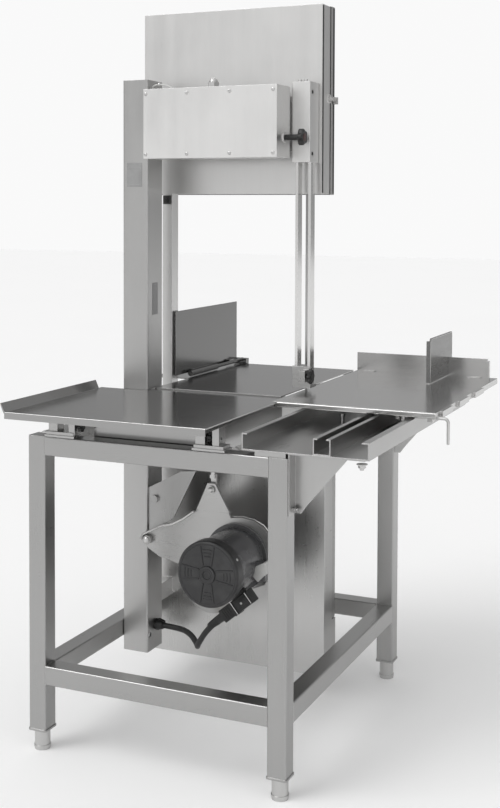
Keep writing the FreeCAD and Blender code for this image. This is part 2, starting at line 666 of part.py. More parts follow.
# ---------------------------------------------------------------- slide tray
def slide_tray():
    """Wide lipped channel that carries the sliding table."""
    t = 3.0
    x0, x1, z0, z1 = TRAY_X0, TRAY_X1, TRAY_Z0, TRAY_Z1
    y0, y1 = TRAY_Y0, TRAY_Y1
    floor = box(x0, y0, z0, x1, y1, z0 + t)
    left = box(x0, y0, z0, x0 + t, y1, z1)
    left_lip = box(x0, y0, z1 - t, x0 + 14, y1, z1)
    right = box(x1 - t, y0, z0, x1, y1, z1)
    right_lip = box(x1 - 18, y0, z1 - t, x1, y1, z1)
    pin = cyl_z(712.0, 424.0, 5.0, z0 + 1, z0 + 30)
    pin_cap = cyl_z(712.0, 424.0, 8.0, z0 + 24, z0 + 30)
    pads = []
    for y in (4.0, STAND_D - TUBE + 4):
        pads.append(box(640.0, y, STAND_TOP, 720.0, y + 42, z0 + 1))
    return fuse([floor, left, left_lip, right, right_lip, pin, pin_cap] + pads)


def tray_strut():
    """Lipped running rail bolted along the tray floor."""
    t = 3.0
    x0, x1 = STRUT_X0, STRUT_X1
    z0, z1 = TRAY_Z0 + t, TRAY_Z1 + 1
    y0, y1 = TRAY_Y0, TRAY_Y1
    floor = box(x0, y0, z0, x1, y1, z0 + t)
    pieces = [floor]
    for xa, xb, la, lb in ((x0, x0 + t, x0, x0 + 11), (x1 - t, x1, x1 - 11, x1)):
        pieces.append(box(xa, y0, z0, xb, y1, z1))
        pieces.append(box(la, y0, z1 - t, lb, y1, z1))
    return fuse(pieces)


def tray_gusset(y0, toward):
    """Pressed bracket between a right leg and the tray."""
    t = 3.0
    x = STAND_W
    top = TRAY_Z0
    ya, yb = (y0, y0 + t)
    plate = prism_y([(x, top - 150), (x + 18, top - 150), (x + 34, top - 128), (x + 142, top - 2),
                     (x + 142, top), (x, top)], ya, yb)
    reach = 38.0 * toward
    lo, hi = sorted((y0 + (t if toward < 0 else 0.0), y0 + reach))
    leg_flange = box(x, lo, top - 150, x + t, hi, top)
    top_flange = box(x, lo, top - t, x + 190, hi, top)
    bolt_y = y0 + 14 * toward
    bolt = hex_x(bolt_y, top - 138, 7.0, x + t, x + t + 6)
    stem = cyl_x(bolt_y, top - 138, 4.0, x + t + 5, x + t + 12)
    return fuse([plate, leg_flange, top_flange, bolt, stem])


def tray_gussets():
    near = tray_gusset(44.0, -1)
    far = tray_gusset(STAND_D - 44.0, 1)
    return Part.makeCompound([near, far])


# ---------------------------------------------------------------- sliding table and fence
def sliding_table():
    z1 = TABLE_Z
    z0 = z1 - SLIDE_T
    flat = box(SLIDE_X0, SLIDE_Y0 + 6, z0, SLIDE_X1, SLIDE_Y1, z1)
    rim = box(RIM_X0, SLIDE_Y0, z1 - 14, SLIDE_X1, SLIDE_Y0 + 7, z1)
    rim = soften(rim, vec(1, 0, 0), 3.0)
    right = box(SLIDE_X1 - 3, SLIDE_Y0 + 2, z1 - 16, SLIDE_X1, SLIDE_Y1, z1 - 1)
    pieces = [flat, rim, right]
    for y in (392.0, 566.0, 740.0):
        pieces.append(box(SLIDE_X1 - 1, y, z1 - 16, SLIDE_X1 + 7, y + 100, z1 - 1))
    runner_y0 = SLIDE_Y0 + 90
    runner_y1 = SLIDE_Y1 - 90
    lip_top = TRAY_Z1
    strut_top = TRAY_Z1 + 1
    pieces.append(box(TRAY_X0 + 1, runner_y0, lip_top + 0.5, TRAY_X0 + 30, runner_y1, z0 + 1))
    pieces.append(box(TRAY_X1 - 30, runner_y0, lip_top + 0.5, TRAY_X1 - 1, runner_y1, z0 + 1))
    mid = (STRUT_X0 + STRUT_X1) / 2
    pieces.append(box(mid - 8, runner_y0, TRAY_Z0 + 12, mid + 8, runner_y1, z0 + 1))
    pieces.append(box(mid - 17, runner_y0, TRAY_Z0 + 12, mid + 17, runner_y1, strut_top - 8))
    pieces.append(box(STRUT_X0, runner_y0, strut_top + 0.6, STRUT_X1, runner_y1, z0 + 1))
    lug = box(LEVER_LUG_X, LEVER_Y - 10, LEVER_Z - 10, LEVER_LUG_X + 14, LEVER_Y + 10, z0 + 1)
    lug2 = box(880.0, LEVER_Y - 8, LEVER_Z - 8, 890.0, LEVER_Y + 8, z0 + 1)
    pieces += [lug, lug2]
    whole = fuse(pieces)
    return whole.cut(cyl_x(LEVER_Y, LEVER_Z, LEVER_R + RUN_FIT, 870.0, SLIDE_X1 + 20))


def lock_lever():
    """Bent round-bar lever that locks the sliding table."""
    rod = cyl_x(LEVER_Y, LEVER_Z, LEVER_R, 884.0, LEVER_END_X)
    drop = cyl_z(LEVER_END_X, LEVER_Y, LEVER_R, LEVER_Z - LEVER_DROP, LEVER_Z)
    elbow = Part.makeSphere(LEVER_R, vec(LEVER_END_X, LEVER_Y, LEVER_Z))
    tip = Part.makeSphere(LEVER_R, vec(LEVER_END_X, LEVER_Y, LEVER_Z - LEVER_DROP))
    cam = box(893.0, LEVER_Y - 4, LEVER_Z - 12, 903.0, LEVER_Y + 4, LEVER_Z)
    return fuse([rod, drop, elbow, tip, cam])


def fence():
    """Upright back stop along the operator's edge of the sliding table."""
    y0 = FENCE_Y0
    sheet = box(FENCE_X0, y0, TABLE_Z, FENCE_X1, y0 + FENCE_T, FENCE_Z1)
    foot_l = box(FENCE_X0 + 20, y0 - 14, TABLE_Z, FENCE_X0 + 60, y0 + 1, TABLE_Z + 2)
    foot_r = box(FENCE_X1 - 60, y0 - 14, TABLE_Z, FENCE_X1 - 20, y0 + 1, TABLE_Z + 2)
    end = box(FENCE_X1 - 3, y0 - 8, TABLE_Z, FENCE_X1 + 6, y0 + FENCE_T, FENCE_Z1 - 6)
    return fuse([sheet, foot_l, foot_r, end])


def meat_pusher():
    """Upright plate with rounded top corners that straddles the fence."""
    x = PUSH_X
    z0 = TABLE_Z + 2.8
    plate = box(x, PUSH_Y0, z0, x + PUSH_T, PUSH_Y1, PUSH_Z1)
    plate = soften_top(plate, 8.0)
    near = box(x - 9, PUSH_Y0, z0, x + 1, PUSH_Y0 + PUSH_T, PUSH_Z1 - 8)
    x0 = x - SHOE_LEN
    x1 = x + PUSH_T
    low = FENCE_Z1 - SHOE_DROP
    bridge = box(x0, FENCE_Y0 - 8, FENCE_Z1 + 1, x1, FENCE_Y0 + FENCE_T + 8, FENCE_Z1 + 10)
    cheek_a = box(x0, FENCE_Y0 - 8, low, x1, FENCE_Y0 - 1, FENCE_Z1 + 2)
    cheek_b = box(x0, FENCE_Y0 + FENCE_T + 1, low, x1, FENCE_Y0 + FENCE_T + 8, FENCE_Z1 + 2)
    slot = box(x0 - 4, FENCE_Y0 - 1, z0 - 5, x1 + 4, FENCE_Y0 + FENCE_T + 1, FENCE_Z1 + 1)
    return fuse([plate, near, bridge, cheek_a, cheek_b]).cut(slot)


def soften_top(plate, size):
    """Round the two upper corners of an upright plate that lies across X."""
    top = plate.BoundBox.ZMax
    edges = []
    for edge in plate.Edges:
        box_ = edge.BoundBox
        if box_.XLength > 0.5 and box_.YLength < 0.01 and box_.ZMin > top - 0.01:
            edges.append(edge)
    return plate.makeFillet(size, edges)


# ---------------------------------------------------------------- thickness gauge
def gauge_plate():
    """Upright gauge plate on a bar that ends in a clamp shoe on the table's edge rail."""
    sheet = box(GAUGE_X, GAUGE_Y0, GAUGE_Z0, GAUGE_X + GAUGE_T, GAUGE_Y1, GAUGE_Z1)
    bar_x = GAUGE_X + 14
    bar_z = TABLE_Z + 11
    thick = cyl_y(bar_x, bar_z, 9.0, 676.0, 860.0)
    thin = cyl_y(bar_x, bar_z, 6.0, 850.0, MAIN_Y1 + 22)
    web = box(GAUGE_X, 700.0, TABLE_Z + 5, bar_x, 840.0, GAUGE_Z0 + 8)
    web2 = box(GAUGE_X, 960.0, TABLE_Z + 6, bar_x, 1020.0, GAUGE_Z0 + 8)
    # Shoe that hooks over the edge rail of the fixed table
    y0 = MAIN_Y1 + 11
    shoe = box(bar_x - 22, MAIN_Y1 + 1, TABLE_Z + 2, bar_x + 22, y0 + 12, TABLE_Z + 16)
    jaw = box(bar_x - 22, y0, TABLE_Z - 28, bar_x + 22, y0 + 12, TABLE_Z + 4)
    whole = fuse([sheet, thick, thin, web, web2, shoe, jaw])
    bore = cyl_y(bar_x - 2, TABLE_Z - 14, 4.0 + RUN_FIT, MAIN_Y1 + 10.5, MAIN_Y1 + 60)
    return whole.cut(bore)


def gauge_knob():
    knob = lobed_knob(6, 15.0, 18.0)
    stud = cyl_x(0, 0, 4.0, -12.0, 6.0)
    knob = knob.fuse(stud).removeSplitter()
    knob.rotate(vec(0, 0, 0), vec(0, 0, 1), 90)
    knob.translate(vec(GAUGE_X + 12, MAIN_Y1 + 24, TABLE_Z - 14))
    return knob


# ---------------------------------------------------------------- blade guide
def guide_holder():
    outer = soften(box(HOLD_X0, HOLD_Y0, HOLD_Z0, HOLD_X1, HOLD_Y1, HOLD_Z1), vec(0, 0, 1), 2.0)
    gap = 0.35
    inner = box(BAR_A_X0 - gap, BAR_Y0 - gap, HOLD_Z0 - 1,
                BAR_B_X0 + BAR_T + gap, BAR_Y0 + BAR_D + gap, HOLD_Z1 + 1)
    shell = outer.cut(inner)
    for z in (HOLD_Z0 + 24, HOLD_Z1 - 28):
        pocket = soften(box(HOLD_X1 - 2, 518.0, z - 9, HOLD_X1 + 1, 532.0, z + 9), vec(1, 0, 0), 5.0)
        shell = shell.cut(pocket)
    return shell


def guide_post():
    """Two flat bars joined by a pin at the top; the guide block hangs below."""
    z0 = GUIDE_Z0 + 8
    z1 = HOLD_Z1 - 20
    bar_a = box(BAR_A_X0, BAR_Y0, z0, BAR_A_X0 + BAR_T, BAR_Y0 + BAR_D, z1)
    bar_b = box(BAR_B_X0, BAR_Y0, z0, BAR_B_X0 + BAR_T, BAR_Y0 + BAR_D, z1)
    mid_y = BAR_Y0 + BAR_D / 2
    tie = cyl_x(mid_y, z1 - 40, 6.0, BAR_A_X0 + 4, BAR_B_X0 + 4)
    return fuse([bar_a, bar_b, tie])


def guide_block():
    """Block between the bars with an arm that holds the blade's sides and back."""
    inner_a = BAR_A_X0 + BAR_T
    body = box(inner_a, BAR_Y0 - 6, GUIDE_Z0, BAR_B_X0, BAR_Y0 + BAR_D + 6, GUIDE_Z1)
    front = box(HOLD_X0, BAR_Y0 - 8, GUIDE_Z0, HOLD_X1, BAR_Y0 - 0.5, GUIDE_Z1)
    base = box(HOLD_X0, BAR_Y0 - 8, GUIDE_Z0, HOLD_X1, BAR_Y0 + BAR_D + 6, GUIDE_Z0 + 7.5)
    arm = box(BLADE_X - 9, BAR_Y0 + BAR_D, GUIDE_Z0, BLADE_X + 14, WHEEL_Y + 4, GUIDE_Z0 + 34)
    lug = box(560.0, BAR_Y0 - 40, GUIDE_Z0 + 20, 579.0, BAR_Y0 - 6, GUIDE_Z0 + 52)
    whole = fuse([body, front, base, arm, lug])
    clearance = 0.8
    back = WHEEL_Y - BLADE_W / 2 - 1.0
    slot = box(BLADE_X - BLADE_T / 2 - clearance, back, GUIDE_Z0 - 1,
               BLADE_X + BLADE_T / 2 + clearance, WHEEL_Y + 10, GUIDE_Z0 + 40)
    bore = cyl_x(BAR_Y0 - 26, GUIDE_Z0 + 36, 4.0 + RUN_FIT, 555.0, 585.0)
    return whole.cut(slot).cut(bore)


def guide_knob():
    knob = lobed_knob(8, 22.0, 16.0)
    stud = cyl_x(0, 0, 4.0, -12.0, 6.0)
    knob = knob.fuse(stud).removeSplitter()
    knob.translate(vec(580.0, BAR_Y0 - 26, GUIDE_Z0 + 36))
    return knob


def clamp_knob():
    """Lobed knob on a tapered stem that clamps the guide post."""
    screw = cyl_x(0, 0, 5.0, -24.0, 4.0)
    stem = Part.makeCone(6.5, 10.0, 42.0, vec(0.5, 0, 0), vec(1, 0, 0))
    head = lobed_knob(5, 25.0, 18.0)
    head.translate(vec(38.0, 0, 0))
    knob = fuse([screw, stem, head])
    knob.translate(vec(BEAM_X1 + 4.5, CLAMP_Y, CLAMP_Z))
    return knob


# ---------------------------------------------------------------- motor drive
def motor():
    """Flange motor: fan cover toward the rear, smooth body, flange on the swing plate."""
    x, z = MOTOR_X, MOTOR_Z
    y0 = MOTOR_Y0
    cover = cyl_y(x, z, MOTOR_R, y0 + 3, y0 + 38)
    rim = [e for e in cover.Edges if e.BoundBox.YMax < y0 + 4 and e.BoundBox.YLength < 1]
    cover = cover.makeFillet(7.0, rim)
    ring = cyl_y(x, z, 22.0, y0, y0 + 6).cut(cyl_y(x, z, 12.0, y0 - 1, y0 + 3))
    body = cyl_y(x, z, BODY_R, y0 + 36, PLATE_Y0 - 14)
    flange = cyl_y(x, z, FLANGE_R, PLATE_Y0 - 14, PLATE_Y0)
    socket = box(x + 70, y0 + 130, z - 40, x + 110, y0 + 150, z + 10)
    whole = fuse([cover, ring, body, flange, socket])
    bore = cyl_y(x, z, SHAFT_R + RUN_FIT, PLATE_Y0 - 60, PLATE_Y0 + 5)
    return whole.cut(bore)


def motor_pulley():
    """Grooved pulley on the motor shaft."""
    shaft = cyl_y(MOTOR_X, MOTOR_Z, SHAFT_R, PLATE_Y0 - 55, PULLEY_Y1 + 2)
    return fuse([shaft, grooved(MOTOR_X, MOTOR_Z, MOTOR_PULLEY_R)])


def grooved(x, z, r):
    """Pulley rim of outer radius r with one V groove."""
    body = cyl_y(x, z, r, PULLEY_Y0, PULLEY_Y1)
    mid = (PULLEY_Y0 + PULLEY_Y1) / 2
    depth = 11.0
    outline = [vec(x + r + 1, mid - 6.8, z), vec(x + r + 1, mid + 6.8, z),
               vec(x + r - depth, mid + 4.0, z), vec(x + r - depth, mid - 4.0, z)]
    face = Part.Face(Part.makePolygon(outline + [outline[0]]))
    groove = face.revolve(vec(x, mid, z), vec(0, 1, 0), 360)
    return body.cut(groove)


def driven_pulley():
    rim = grooved(WHEEL_X, LOWER_Z, DRIVEN_R)
    return rim.cut(cyl_y(WHEEL_X, LOWER_Z, AXLE_R + RUN_FIT, PULLEY_Y0 - 5, PULLEY_Y1 + 5))


def lower_shaft():
    shaft = cyl_y(WHEEL_X, LOWER_Z, AXLE_R, PULLEY_Y0 - 6, WHEEL_Y + WHEEL_W / 2 + 8)
    shoulder = cyl_y(WHEEL_X, LOWER_Z, 24.0, HOUSE_Y0 + 6, WHEEL_Y - WHEEL_W / 2 - 2)
    cap = cyl_y(WHEEL_X, LOWER_Z, 21.0, WHEEL_Y + WHEEL_W / 2 + 2, WHEEL_Y + WHEEL_W / 2 + 10)
    return fuse([shaft, shoulder, cap])


def belt_loop(ra, rb, y0, y1):
    """Filled outline of a belt of radius ra round the motor pulley and rb round the driven one."""
    dx = WHEEL_X - MOTOR_X
    dz = LOWER_Z - MOTOR_Z
    dist = math.hypot(dx, dz)
    heading = math.atan2(dz, dx)
    tilt = math.acos((ra - rb) / dist)
    corners = []
    for cx, cz, r, sign in ((MOTOR_X, MOTOR_Z, ra, 1), (WHEEL_X, LOWER_Z, rb, 1),
                            (WHEEL_X, LOWER_Z, rb, -1), (MOTOR_X, MOTOR_Z, ra, -1)):
        a = heading + sign * tilt
        corners.append((cx + r * math.cos(a), cz + r * math.sin(a)))
    span = prism_y(corners, y0, y1)
    return fuse([span, cyl_y(MOTOR_X, MOTOR_Z, ra, y0, y1), cyl_y(WHEEL_X, LOWER_Z, rb, y0, y1)])


def belt():
    mid = (PULLEY_Y0 + PULLEY_Y1) / 2
    outer = belt_loop(MOTOR_PULLEY_R - 1, DRIVEN_R - 1, mid - 4.6, mid + 4.6)
    inner = belt_loop(MOTOR_PULLEY_R - 8, DRIVEN_R - 8, mid - 6, mid + 6)
    return outer.cut(inner)


def swing_plate():
    """Pivoted motor plate: rounded ends, raised top bracket for the tension rod."""
    outline = [(SWING_X - 16, SWING_Z - 18), (SWING_X - 20, SWING_Z), (SWING_X - 12, SWING_Z + 17),
               (184.0, 521.0), (222.0, 531.0), (257.0, 551.0), (290.0, 575.0),
               (328.0, 652.0), (352.0, 652.0), (396.0, 562.0), (429.0, 566.0), (463.0, 562.0),
               (492.0, 548.0), (512.0, 526.0), (526.0, 480.0), (520.0, 430.0), (500.0, 388.0),
               (420.0, 352.0), (330.0, 366.0), (260.0, 408.0), (205.0, 422.0), (171.0, 429.0)]
    plate = prism_y(outline, PLATE_Y0, PLATE_Y1)
    top_flange = prism_y([(184.0, 521.0), (222.0, 531.0), (257.0, 551.0), (290.0, 575.0),
                          (292.0, 572.0), (259.0, 547.0), (223.0, 527.0), (184.5, 517.0)],
                         PLATE_Y0 - 18, PLATE_Y0 + 1)
    end_flange = prism_y([(SWING_X - 20, SWING_Z), (SWING_X - 12, SWING_Z + 17), (184.0, 521.0),
                          (184.5, 517.0), (SWING_X - 9, SWING_Z + 13.5), (SWING_X - 16.5, SWING_Z)],
                         PLATE_Y0 - 18, PLATE_Y0 + 1)
    ear = prism_y([(294.0, 576.0), (396.0, 576.0), (352.0, 654.0), (328.0, 654.0)],
                  PLATE_Y0 - 6, PLATE_Y0 + 1)
    whole = fuse([plate, top_flange, end_flange, ear])
    whole = whole.cut(cyl_y(MOTOR_X, MOTOR_Z, 34.0, PLATE_Y0 - 1, PLATE_Y1 + 1))
    whole = whole.cut(cyl_y(SWING_X, SWING_Z, PIVOT_R + RUN_FIT, PLATE_Y0 - 20, PLATE_Y1 + 5))
    rod_pin = cyl_y(APEX_X, APEX_Z, ROD_R, PLATE_Y0 - 12, PLATE_Y1 + 14)
    return fuse([whole, rod_pin])


def column_gusset():
    """Bracket on the column with the swing plate's pivot pin."""
    plate = prism_y([(COL_X1, 440.0), (COL_X1, 618.0), (235.0, 674.0), (281.0, 679.0), (211.0, 540.0),
                     (160.0, 500.0), (160.0, 440.0)], 412.0, 418.0)
    hub = cyl_y(151.0, 588.0, 11.0, 404.0, 420.0)
    pin = cyl_y(SWING_X, SWING_Z, PIVOT_R, PLATE_Y0 - 10, 413.0)
    washer = cyl_y(SWING_X, SWING_Z, 13.0, PLATE_Y0 - 14, PLATE_Y0 - 1.0)
    return fuse([plate, hub, pin, washer])


def tension_rod():
    """Threaded rod with an eye on the swing plate; its nut rests on the hanger."""
    y0 = PLATE_Y1 + 1
    y1 = y0 + 10
    eye = cyl_y(APEX_X, APEX_Z, 13.0, y0, y1)
    mid = PLATE_Y0 + 4.0
    neck = box(APEX_X - 7, y0, APEX_Z, APEX_X + 7, y1, APEX_Z + 40)
    jog = box(APEX_X - 7, mid - 5, APEX_Z + 30, APEX_X + 7, y1, APEX_Z + 40)
    stem = cyl_z(APEX_X, mid, ROD_R, APEX_Z + 35, HANGER_Z + 45)
    nut = hex_z(APEX_X, mid, 12.0, HANGER_Z + 9, HANGER_Z + 20)
    washer = box(APEX_X - 24, mid - 14, HANGER_Z + 6, APEX_X + 24, mid + 14, HANGER_Z + 9)
    whole = fuse([eye, neck, jog, stem, nut, washer])
    return whole.cut(cyl_y(APEX_X, APEX_Z, ROD_R + RUN_FIT, y0 - 1, y1 + 1))


def motor_connector():
    """Plug-in connector block under the motor, with a boot for the lead."""
    shell = soften(box(0, -18.0, -CONN_W, CONN_LEN, 18.0, -1.0), vec(1, 0, 0), 4.0)
    collar = box(38.0, -20.0, -CONN_W - 2, 46.0, 20.0, -1.0)
    boot = Part.makeCone(11.0, 14.0, 26.0, vec(-26.0, 0, -CONN_W / 2), vec(1, 0, 0))
    foot_block = box(52.0, -14.0, -4.0, 90.0, 14.0, 14.0)
    whole = fuse([shell, collar, boot, foot_block])
    whole = whole.cut(cyl_x(0, -CONN_W / 2, LEAD_R + 0.3, -30.0, -4.0))
    whole.rotate(vec(0, 0, 0), vec(0, 1, 0), -CONN_TILT)
    whole.translate(vec(CONN_X, CONN_Y, CONN_Z))
    return whole.cut(cyl_y(MOTOR_X, MOTOR_Z, BODY_R + 0.05, CONN_Y - 40, CONN_Y + 40))


# Route of the motor lead: gland in the column, slack loop, connector boot
def lead_route():
    a = math.radians(CONN_TILT)
    hx, hz = math.cos(a), math.sin(a)
    mx = CONN_X + CONN_W / 2 * hz
    mz = CONN_Z - CONN_W / 2 * hx
    entry = vec(mx - 8 * hx, CONN_Y, mz - 8 * hz)
    lead_in = vec(mx - 62 * hx, CONN_Y, mz - 62 * hz)
    return [vec(COL_X1 + 2, GLAND_Y, GLAND_Z),
            vec(COL_X1 + 75, GLAND_Y, GLAND_Z),
            vec(268.0, 400.0, 224.0),
            vec(322.0, 345.0, 215.0),
            lead_in, entry]


def routed_wire(points):
    """Straight runs joined by tangent arcs."""
    trims = []
    for i in range(1, len(points) - 1):
        back = points[i - 1] - points[i]
        ahead = points[i + 1] - points[i]
        trims.append(0.45 * min(back.Length, ahead.Length))
    parts = []
    start = points[0]
    for i in range(1, len(points) - 1):
        corner = points[i]
        back = (points[i - 1] - corner)
        back.normalize()
        ahead = (points[i + 1] - corner)
        ahead.normalize()
        p_in = corner + back * trims[i - 1]
        p_out = corner + ahead * trims[i - 1]
        half = (math.pi - back.getAngle(ahead)) / 2
        radius = trims[i - 1] / math.tan(half)
        bisect = back + ahead
        bisect.normalize()
        centre = corner + bisect * (radius / math.cos(half))
        middle = centre - bisect * radius
        parts.append(Part.LineSegment(start, p_in).toShape())
        parts.append(Part.Arc(p_in, middle, p_out).toShape())
        print("lead radius", round(radius, 1), "turn", round(math.degrees(2 * half), 1))
        start = p_out
    parts.append(Part.LineSegment(start, points[-1]).toShape())
    return Part.Wire(parts)


def motor_lead():
    points = lead_route()
    wire = routed_wire(points)
    step = points[1] - points[0]
    ring = Part.Wire([Part.makeCircle(LEAD_R, points[0], step)])
    lead = wire.makePipeShell([ring], True, True)
    print("lead length", round(wire.Length, 1), "volume", round(lead.Volume),
          "expected", round(wire.Length * math.pi * LEAD_R ** 2))
    return lead


# ---------------------------------------------------------------- build everything
def build():
    build_stand()
    save("column", column())
    save("cable_gland", cable_gland())
    save("beam_box", beam_box())
    save("beam_cover", beam_cover())
    save("upper_housing", upper_housing())
    save("upper_door", upper_door())
    save("upper_latch", upper_latch())
    save("lower_housing", lower_housing())
    save("lower_door", lower_door())
    save("return_guard", return_guard())
    save("upper_wheel", wheel(UPPER_Z))
    save("lower_wheel", wheel(LOWER_Z))
    save("blade", blade())
    save("upper_carriage", upper_carriage())
    save("tension_screw", tension_screw())
    save("rear_table", rear_table())
    save("main_table", main_table())
    save("table_supports", table_supports())
    save("support_knob_left", support_knob(LEFT_CLAMP_X + CLAMP_BLOCK + 0.5, 1))
    save("support_knob_right", support_knob(RIGHT_CLAMP_X - 0.5, -1))
    save("slide_tray", slide_tray())
    save("tray_strut", tray_strut())
    save("tray_gussets", tray_gussets())
    save("sliding_table", sliding_table())
    save("lock_lever", lock_lever())
    save("fence", fence())
    save("meat_pusher", meat_pusher())
    save("gauge_plate", gauge_plate())
    save("gauge_knob", gauge_knob())
    save("guide_holder", guide_holder())
    save("guide_post", guide_post())
    save("guide_block", guide_block())
    save("guide_knob", guide_knob())
    save("clamp_knob", clamp_knob())
    save("motor", motor())
    save("motor_pulley", motor_pulley())
    save("driven_pulley", driven_pulley())
    save("lower_shaft", lower_shaft())
    save("belt", belt())
    save("swing_plate", swing_plate())
    save("column_gusset", column_gusset())
    save("tension_rod", tension_rod())
    save("motor_connector", motor_connector())
    save("motor_lead", motor_lead())


build()
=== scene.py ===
"""Looks of the butcher's bone saw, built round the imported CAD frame."""
import math

import bmesh
import bpy
from mathutils import Matrix, Vector


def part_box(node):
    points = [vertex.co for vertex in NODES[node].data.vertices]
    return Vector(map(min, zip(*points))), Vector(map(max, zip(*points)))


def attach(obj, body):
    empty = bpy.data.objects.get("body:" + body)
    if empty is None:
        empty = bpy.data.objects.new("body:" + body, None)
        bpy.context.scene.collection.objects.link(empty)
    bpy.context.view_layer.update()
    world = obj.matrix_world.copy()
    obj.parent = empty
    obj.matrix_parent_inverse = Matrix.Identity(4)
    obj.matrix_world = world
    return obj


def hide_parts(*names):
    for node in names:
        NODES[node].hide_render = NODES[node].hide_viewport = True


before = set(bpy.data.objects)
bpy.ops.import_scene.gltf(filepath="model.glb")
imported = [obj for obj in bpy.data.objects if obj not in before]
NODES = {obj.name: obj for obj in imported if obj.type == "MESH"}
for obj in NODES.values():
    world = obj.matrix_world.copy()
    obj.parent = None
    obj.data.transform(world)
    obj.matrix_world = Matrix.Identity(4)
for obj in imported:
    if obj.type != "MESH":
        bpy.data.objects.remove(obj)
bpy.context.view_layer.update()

MM = 0.001
X, Y, Z = Vector((1, 0, 0)), Vector((0, 1, 0)), Vector((0, 0, 1))

# Camera fitted to the photograph: metres, degrees, and shifts in sensor widths
CAMERA_PLACE = (1.3183, -3.1644, 1.4239)
CAMERA_TURN, CAMERA_TIP, CAMERA_ROLL = 24.014, 87.751, 0.188
CAMERA_LENS = 54.77
CAMERA_SHIFT = (0.0006, -0.1851)

WORLD_LEVEL = 1.0
BACKDROP = 0.95

# Places that no CAD box gives: metres, except STAND_CENTRE_X in mm from the stand's corner
STAND_CENTRE_X = 494.5
RATING_PLATE_Z = (1.4780, 1.5460)
SIDE_PLATE_Z = (1.112, 1.204)
PIVOT_X, PIVOT_Z = -0.3545, 0.475
CONNECTOR_ORIGIN = (-0.0825, -0.2030, 0.3380)
CONNECTOR_TILT = 39.6
TERMINAL_FRONT_Y = -0.1765
DOOR_RING_Y = (0.1363, 0.1379)
MOTOR_SPLIT_Y = -0.267

# Colour sockets of a Mix node set to RGBA
MIX_A, MIX_B, MIX_RESULT = 6, 7, 2


# ------------------------------------------------------------------ camera
def make_camera():
    """Portrait view over the motor side, from the right, with the lens level shifted down."""
    data = bpy.data.cameras.new("camera")
    data.lens = CAMERA_LENS
    data.sensor_width = 36.0
    data.shift_x, data.shift_y = CAMERA_SHIFT
    data.clip_start = 0.05
    data.clip_end = 100.0
    camera = bpy.data.objects.new("camera", data)
    bpy.context.scene.collection.objects.link(camera)
    turn = Matrix.Rotation(math.radians(CAMERA_TURN), 4, "Z")
    tip = Matrix.Rotation(math.radians(CAMERA_TIP), 4, "X")
    roll = Matrix.Rotation(math.radians(CAMERA_ROLL), 4, "Z")
    camera.matrix_world = Matrix.Translation(CAMERA_PLACE) @ turn @ tip @ roll
    bpy.context.scene.camera = camera
    bpy.context.scene.view_settings.view_transform = "Standard"


# ------------------------------------------------------------------ node helpers
class Shader:
    """A material's node tree with short calls for what every finish here needs."""

    def __init__(self, name):
        self.material = bpy.data.materials.new(name)
        self.material.use_nodes = True
        self.tree = self.material.node_tree
        self.tree.nodes.clear()
        self.out = self.tree.nodes.new("ShaderNodeOutputMaterial")
        self.bsdf = self.tree.nodes.new("ShaderNodeBsdfPrincipled")
        self.link(self.bsdf.outputs["BSDF"], self.out.inputs["Surface"])
        self.coord = self.tree.nodes.new("ShaderNodeTexCoord").outputs["Object"]

    def link(self, a, b):
        self.tree.links.new(a, b)

    def set(self, **values):
        for name, value in values.items():
            self.bsdf.inputs[name.replace("_", " ")].default_value = value

    def mapped(self, scale, turn=(0, 0, 0)):
        node = self.tree.nodes.new("ShaderNodeMapping")
        node.inputs["Scale"].default_value = scale
        node.inputs["Rotation"].default_value = turn
        self.link(self.coord, node.inputs["Vector"])
        return node.outputs["Vector"]

    def noise(self, vector, scale, detail=3.0, rough=0.55):
        node = self.tree.nodes.new("ShaderNodeTexNoise")
        node.inputs["Scale"].default_value = scale
        node.inputs["Detail"].default_value = detail
        node.inputs["Roughness"].default_value = rough
        self.link(vector, node.inputs["Vector"])
        return node.outputs["Fac"]

    def span(self, value, a, b, lo, hi):
        node = self.tree.nodes.new("ShaderNodeMapRange")
        for key, number in (("From Min", a), ("From Max", b), ("To Min", lo), ("To Max", hi)):
            node.inputs[key].default_value = number
        self.link(value, node.inputs["Value"])
        return node.outputs["Result"]

    def math(self, kind, a, b):
        node = self.tree.nodes.new("ShaderNodeMath")
        node.operation = kind
        self.link(a, node.inputs[0])
        if isinstance(b, float):
            node.inputs[1].default_value = b
        else:
            self.link(b, node.inputs[1])
        return node.outputs[0]

    def mix(self, factor, a, b):
        node = self.tree.nodes.new("ShaderNodeMix")
        node.data_type = "RGBA"
        self.link(factor, node.inputs["Factor"])
        for index, value in ((MIX_A, a), (MIX_B, b)):
            if isinstance(value, tuple):
                node.inputs[index].default_value = (*value, 1.0)
            else:
                self.link(value, node.inputs[index])
        return node.outputs[MIX_RESULT]

    def rounded_normal(self, radius):
        node = self.tree.nodes.new("ShaderNodeBevel")
        node.samples = 4
        node.inputs["Radius"].default_value = radius
        return node.outputs["Normal"]

    # Edge mask that lightens edges in the base colour: partly wear, partly painted highlight
    def edge_mask(self, rounded):
        geometry = self.tree.nodes.new("ShaderNodeNewGeometry")
        dot = self.tree.nodes.new("ShaderNodeVectorMath")
        dot.operation = "DOT_PRODUCT"
        self.link(rounded, dot.inputs[0])
        self.link(geometry.outputs["Normal"], dot.inputs[1])
        return self.span(dot.outputs["Value"], 0.72, 0.985, 1.0, 0.0)

    def bump(self, height, strength, distance, normal=None):
        node = self.tree.nodes.new("ShaderNodeBump")
        node.inputs["Strength"].default_value = strength
        node.inputs["Distance"].default_value = distance
        self.link(height, node.inputs["Height"])
        if normal is not None:
            self.link(normal, node.inputs["Normal"])
        return node.outputs["Normal"]


def shade(value, tint=(1.0, 1.0, 1.0)):
    return tuple(min(1.0, value * t) for t in tint)


STEEL_TINT = (1.0, 0.995, 0.985)


